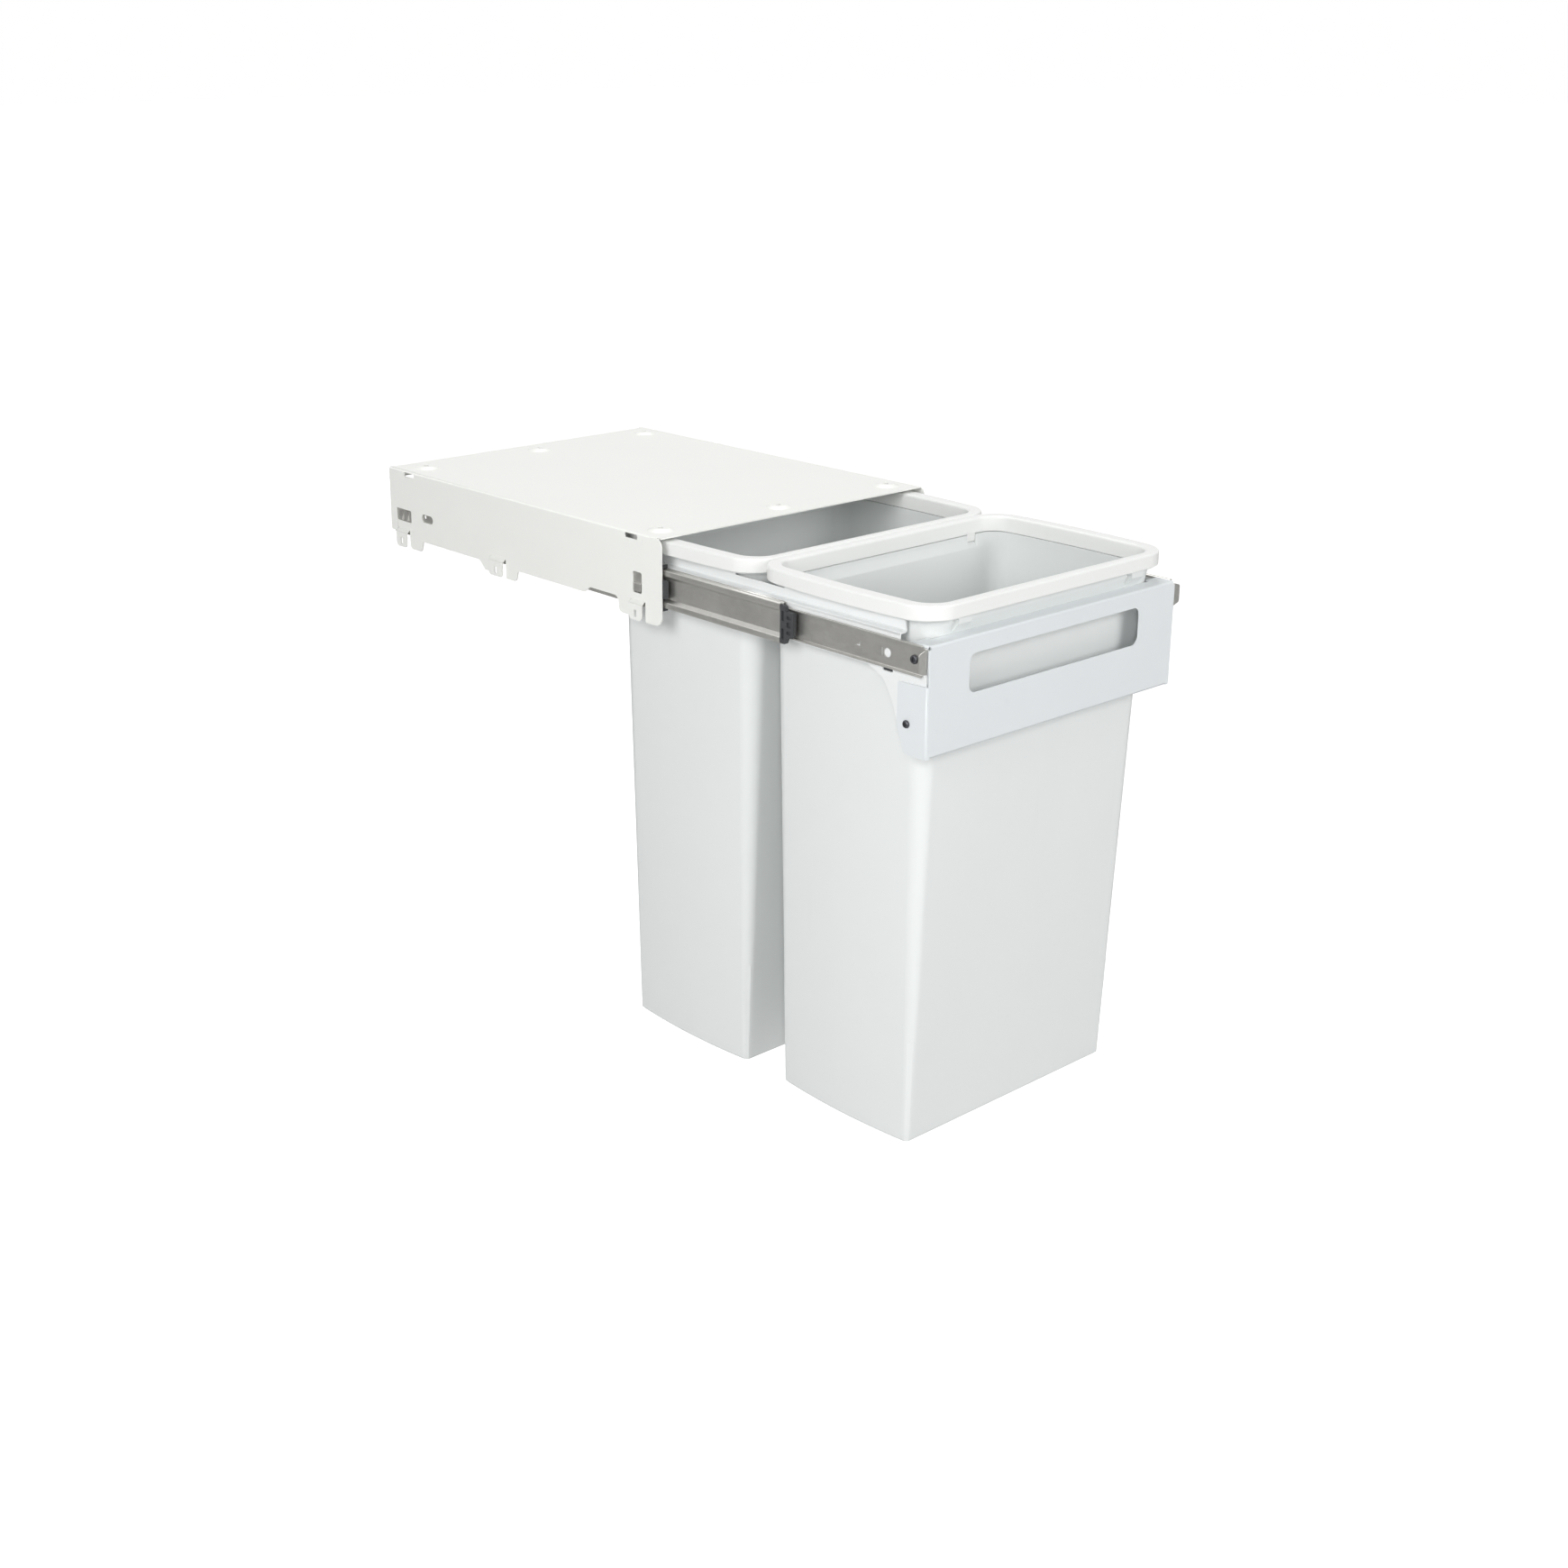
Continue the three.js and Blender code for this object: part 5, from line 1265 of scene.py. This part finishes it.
        strips = [self.corner_strip(sx, sy) for sx in (-1, 1) for sy in (-1, 1)]
        foot = Ring(self.floor[0] - 14, self.floor[1] - 14, 8, floor - 1, 0, self.lean)
        outer.join(*wedges, *strips)
        return outer.cut(inner, *[self.wedge(side, x, self.lip_wall) for side, x in self.clips],
                         Solid.loft([foot, foot.grown(-1, floor + 1)]))

    def liner_collar(self) -> Solid:
        """Returns the collar with its skirts and spring legs."""
        top, bottom, wall = self.collar_top, self.collar_bottom, self.collar_wall
        skirt_bottom = top - self.skirt

        def shell(by: float, z: float) -> Ring:
            """Returns a ring of the outer skirt."""
            return Ring(*self.collar, self.collar_radius, z, self.bow).grown(by)

        def mouth(by: float, z: float) -> Ring:
            """Returns a ring of the opening."""
            return Ring(*self.opening, self.opening_radius, z, self.neck_bow).grown(by)

        outside = Solid.loft([
            shell(-0.5, bottom), shell(-0.1, bottom + 0.3), shell(0, bottom + 0.8),
            shell(0, top - 2), shell(-0.15, top - 1.2), shell(-0.5, top - 0.5),
            shell(-1.1, top - 0.12), shell(-1.8, top), mouth(2.2, top + 0.005)])
        hollow = Solid.loft([shell(-wall, bottom - 1), shell(-wall, top - 3.5),
                             shell(-wall - 2, top - wall)])
        sleeve = Solid.loft([mouth(0.9, skirt_bottom), mouth(0.9, top - 0.5)])
        hole = Solid.loft([
            mouth(-0.9, skirt_bottom - 1), mouth(-0.2, top - 2.8), mouth(0.1, top - 1.6),
            mouth(0.5, top - 0.8), mouth(1.2, top - 0.25), mouth(2.1, top - 0.02),
            mouth(2.2, top + 2)])
        legs = []
        for side, x in self.clips:
            outer = side * (self.neck[1] - self.lip_wall - LEVELS.fit)
            foot = skirt_bottom - 7.4
            across = sorted((outer - side * 1.3, outer))
            legs.append(Solid.block((x - 5.4, x + 5.4), tuple(across), (foot, skirt_bottom + 2)))
            legs.append(Solid.plate(Axis.X, x - 4.4, x + 4.4, round_corners(outer, foot + 1.9, 1.1)))
        outside.cut(hollow)
        outside.join(sleeve, *legs)
        return outside.cut(hole)

    def build(self, shop: Workshop) -> None:
        """Builds and places both buckets with their collars."""
        body, collar = self.body(), self.liner_collar()
        for name, y in (("front", LEVELS.front_bucket), ("rear", LEVELS.rear_bucket)):
            shop.place(body.moved(y=y), f"bucket_{name}", "bucket_plastic_grain", 0.0, 2 * ROUND_ALL)
            shop.place(collar.moved(y=y), f"liner_collar_{name}", "collar_plastic_smooth", 0.2,
                       2 * ROUND_ALL)


# ------------------------------------------------------------------------------ studio


@dataclass
class Studio:
    """The camera, the lamps, the world and the floor."""

    camera_at: tuple[float, float, float] = (-1.38462, -1.44152, 0.44714)
    azimuth: float = 41.38
    depression: float = 17.93
    lens: float = 49.10
    shift: tuple[float, float] = (0.04885, -0.0471)
    floor_z: float = -0.78
    ambient: float = 0.21

    def camera(self) -> None:
        """Adds the camera at the photograph's viewing angle."""
        data = bpy.data.cameras.new("camera")
        data.lens = self.lens
        data.sensor_width = 36.0
        data.shift_x, data.shift_y = self.shift
        data.clip_end = 50.0
        camera = bpy.data.objects.new("camera", data)
        camera.location = self.camera_at
        camera.rotation_euler = (math.radians(90 - self.depression), 0, math.radians(-self.azimuth))
        bpy.context.scene.collection.objects.link(camera)
        bpy.context.scene.camera = camera

    def lamp(self, name: str, at: tuple[float, float, float], aim: tuple[float, float, float],
             size: tuple[float, float], power: float) -> None:
        """Adds one soft lamp.

        Args:
            name: The lamp's name.
            at: Where it stands.
            aim: The point that it faces.
            size: Its width and height.
            power: Its power in watts.
        """
        data = bpy.data.lights.new(name, "AREA")
        data.shape = "RECTANGLE"
        data.size, data.size_y = size
        data.energy = power
        lamp = bpy.data.objects.new(name, data)
        lamp.location = at
        lamp.rotation_euler = (Vector(aim) - Vector(at)).to_track_quat("-Z", "Y").to_euler()
        bpy.context.scene.collection.objects.link(lamp)

    def world(self) -> None:
        """Adds an even world that shows white to the camera and in reflections."""
        world = bpy.data.worlds.new("world")
        bpy.context.scene.world = world
        world.use_nodes = True
        nodes, links = world.node_tree.nodes, world.node_tree.links
        nodes.clear()
        path = nodes.new("ShaderNodeLightPath")
        seen = nodes.new("ShaderNodeMath")
        seen.operation = "MAXIMUM"
        shown = nodes.new("ShaderNodeMath")
        shown.operation = "MAXIMUM"
        links.new(path.outputs["Is Camera Ray"], seen.inputs[0])
        links.new(path.outputs["Is Glossy Ray"], seen.inputs[1])
        links.new(seen.outputs[0], shown.inputs[0])
        links.new(path.outputs["Is Transmission Ray"], shown.inputs[1])
        strength = nodes.new("ShaderNodeMapRange")
        strength.inputs["To Min"].default_value = self.ambient
        strength.inputs["To Max"].default_value = 1.0
        links.new(shown.outputs[0], strength.inputs["Value"])
        background = nodes.new("ShaderNodeBackground")
        background.inputs["Color"].default_value = (1.0, 1.0, 1.0, 1.0)
        links.new(strength.outputs[0], background.inputs["Strength"])
        output = nodes.new("ShaderNodeOutputWorld")
        links.new(background.outputs[0], output.inputs["Surface"])

    def floor(self) -> None:
        """Adds the plain white floor, which keeps a soft shadow."""
        tree = ShaderTree("floor_white")
        path = tree.node("ShaderNodeLightPath", output="Is Camera Ray")
        surface = tree.node("ShaderNodeBsdfPrincipled", inputs={
            "Base Color": (0.6, 0.6, 0.6, 1.0), "Roughness": 0.9,
            "Emission Color": tree.mix(path, (0, 0, 0, 1), (1, 1, 1, 1)),
            "Emission Strength": 0.9})
        tree.node_output(surface)
        mesh = bmesh.new()
        bmesh.ops.create_grid(mesh, x_segments=1, y_segments=1, size=30.0)
        bmesh.ops.translate(mesh, vec=(0, 0, self.floor_z), verts=list(mesh.verts))
        data = bpy.data.meshes.new("floor")
        mesh.to_mesh(data)
        data.materials.append(tree.material)
        floor = bpy.data.objects.new("floor", data)
        bpy.context.scene.collection.objects.link(floor)

    def build(self) -> None:
        """Sets the whole studio up."""
        self.camera()
        self.world()
        self.floor()
        middle = (0.0, -0.05, -0.2)
        self.lamp("left", (-2.7, -0.7, 1.15), middle, (1.5, 1.5), 47.0)
        self.lamp("front", (0.9, -2.7, 1.0), middle, (1.5, 1.5), 37.0)
        self.lamp("near", (-1.8, -1.9, 0.4), middle, (0.25, 1.6), 16.0)
        self.lamp("top", (0.7, 0.9, 2.2), middle, (1.2, 1.2), 27.0)
        bpy.context.scene.view_settings.view_transform = "Standard"


def main() -> None:
    """Builds the scene and reports each piece."""
    logging.basicConfig(level=logging.INFO, format="%(name)s %(message)s")
    record = FRAME["record"]
    slots = {part["node"]: part["material_slot"] for part in record["subparts"]}
    bodies = {node: body for body, nodes in record["behaviour"]["bodies"].items() for node in nodes}
    materials = {finish.name: finish.material() for finish in FINISHES}
    shop = Workshop(materials, slots, bodies)
    Studio().build()
    for assembly in (Cover(), BallSlide(), PanScrews(), TrayFrame(), Bucket()):
        LOG.info("building %s", type(assembly).__name__)
        assembly.build(shop)


if __name__ == "__main__":
    main()
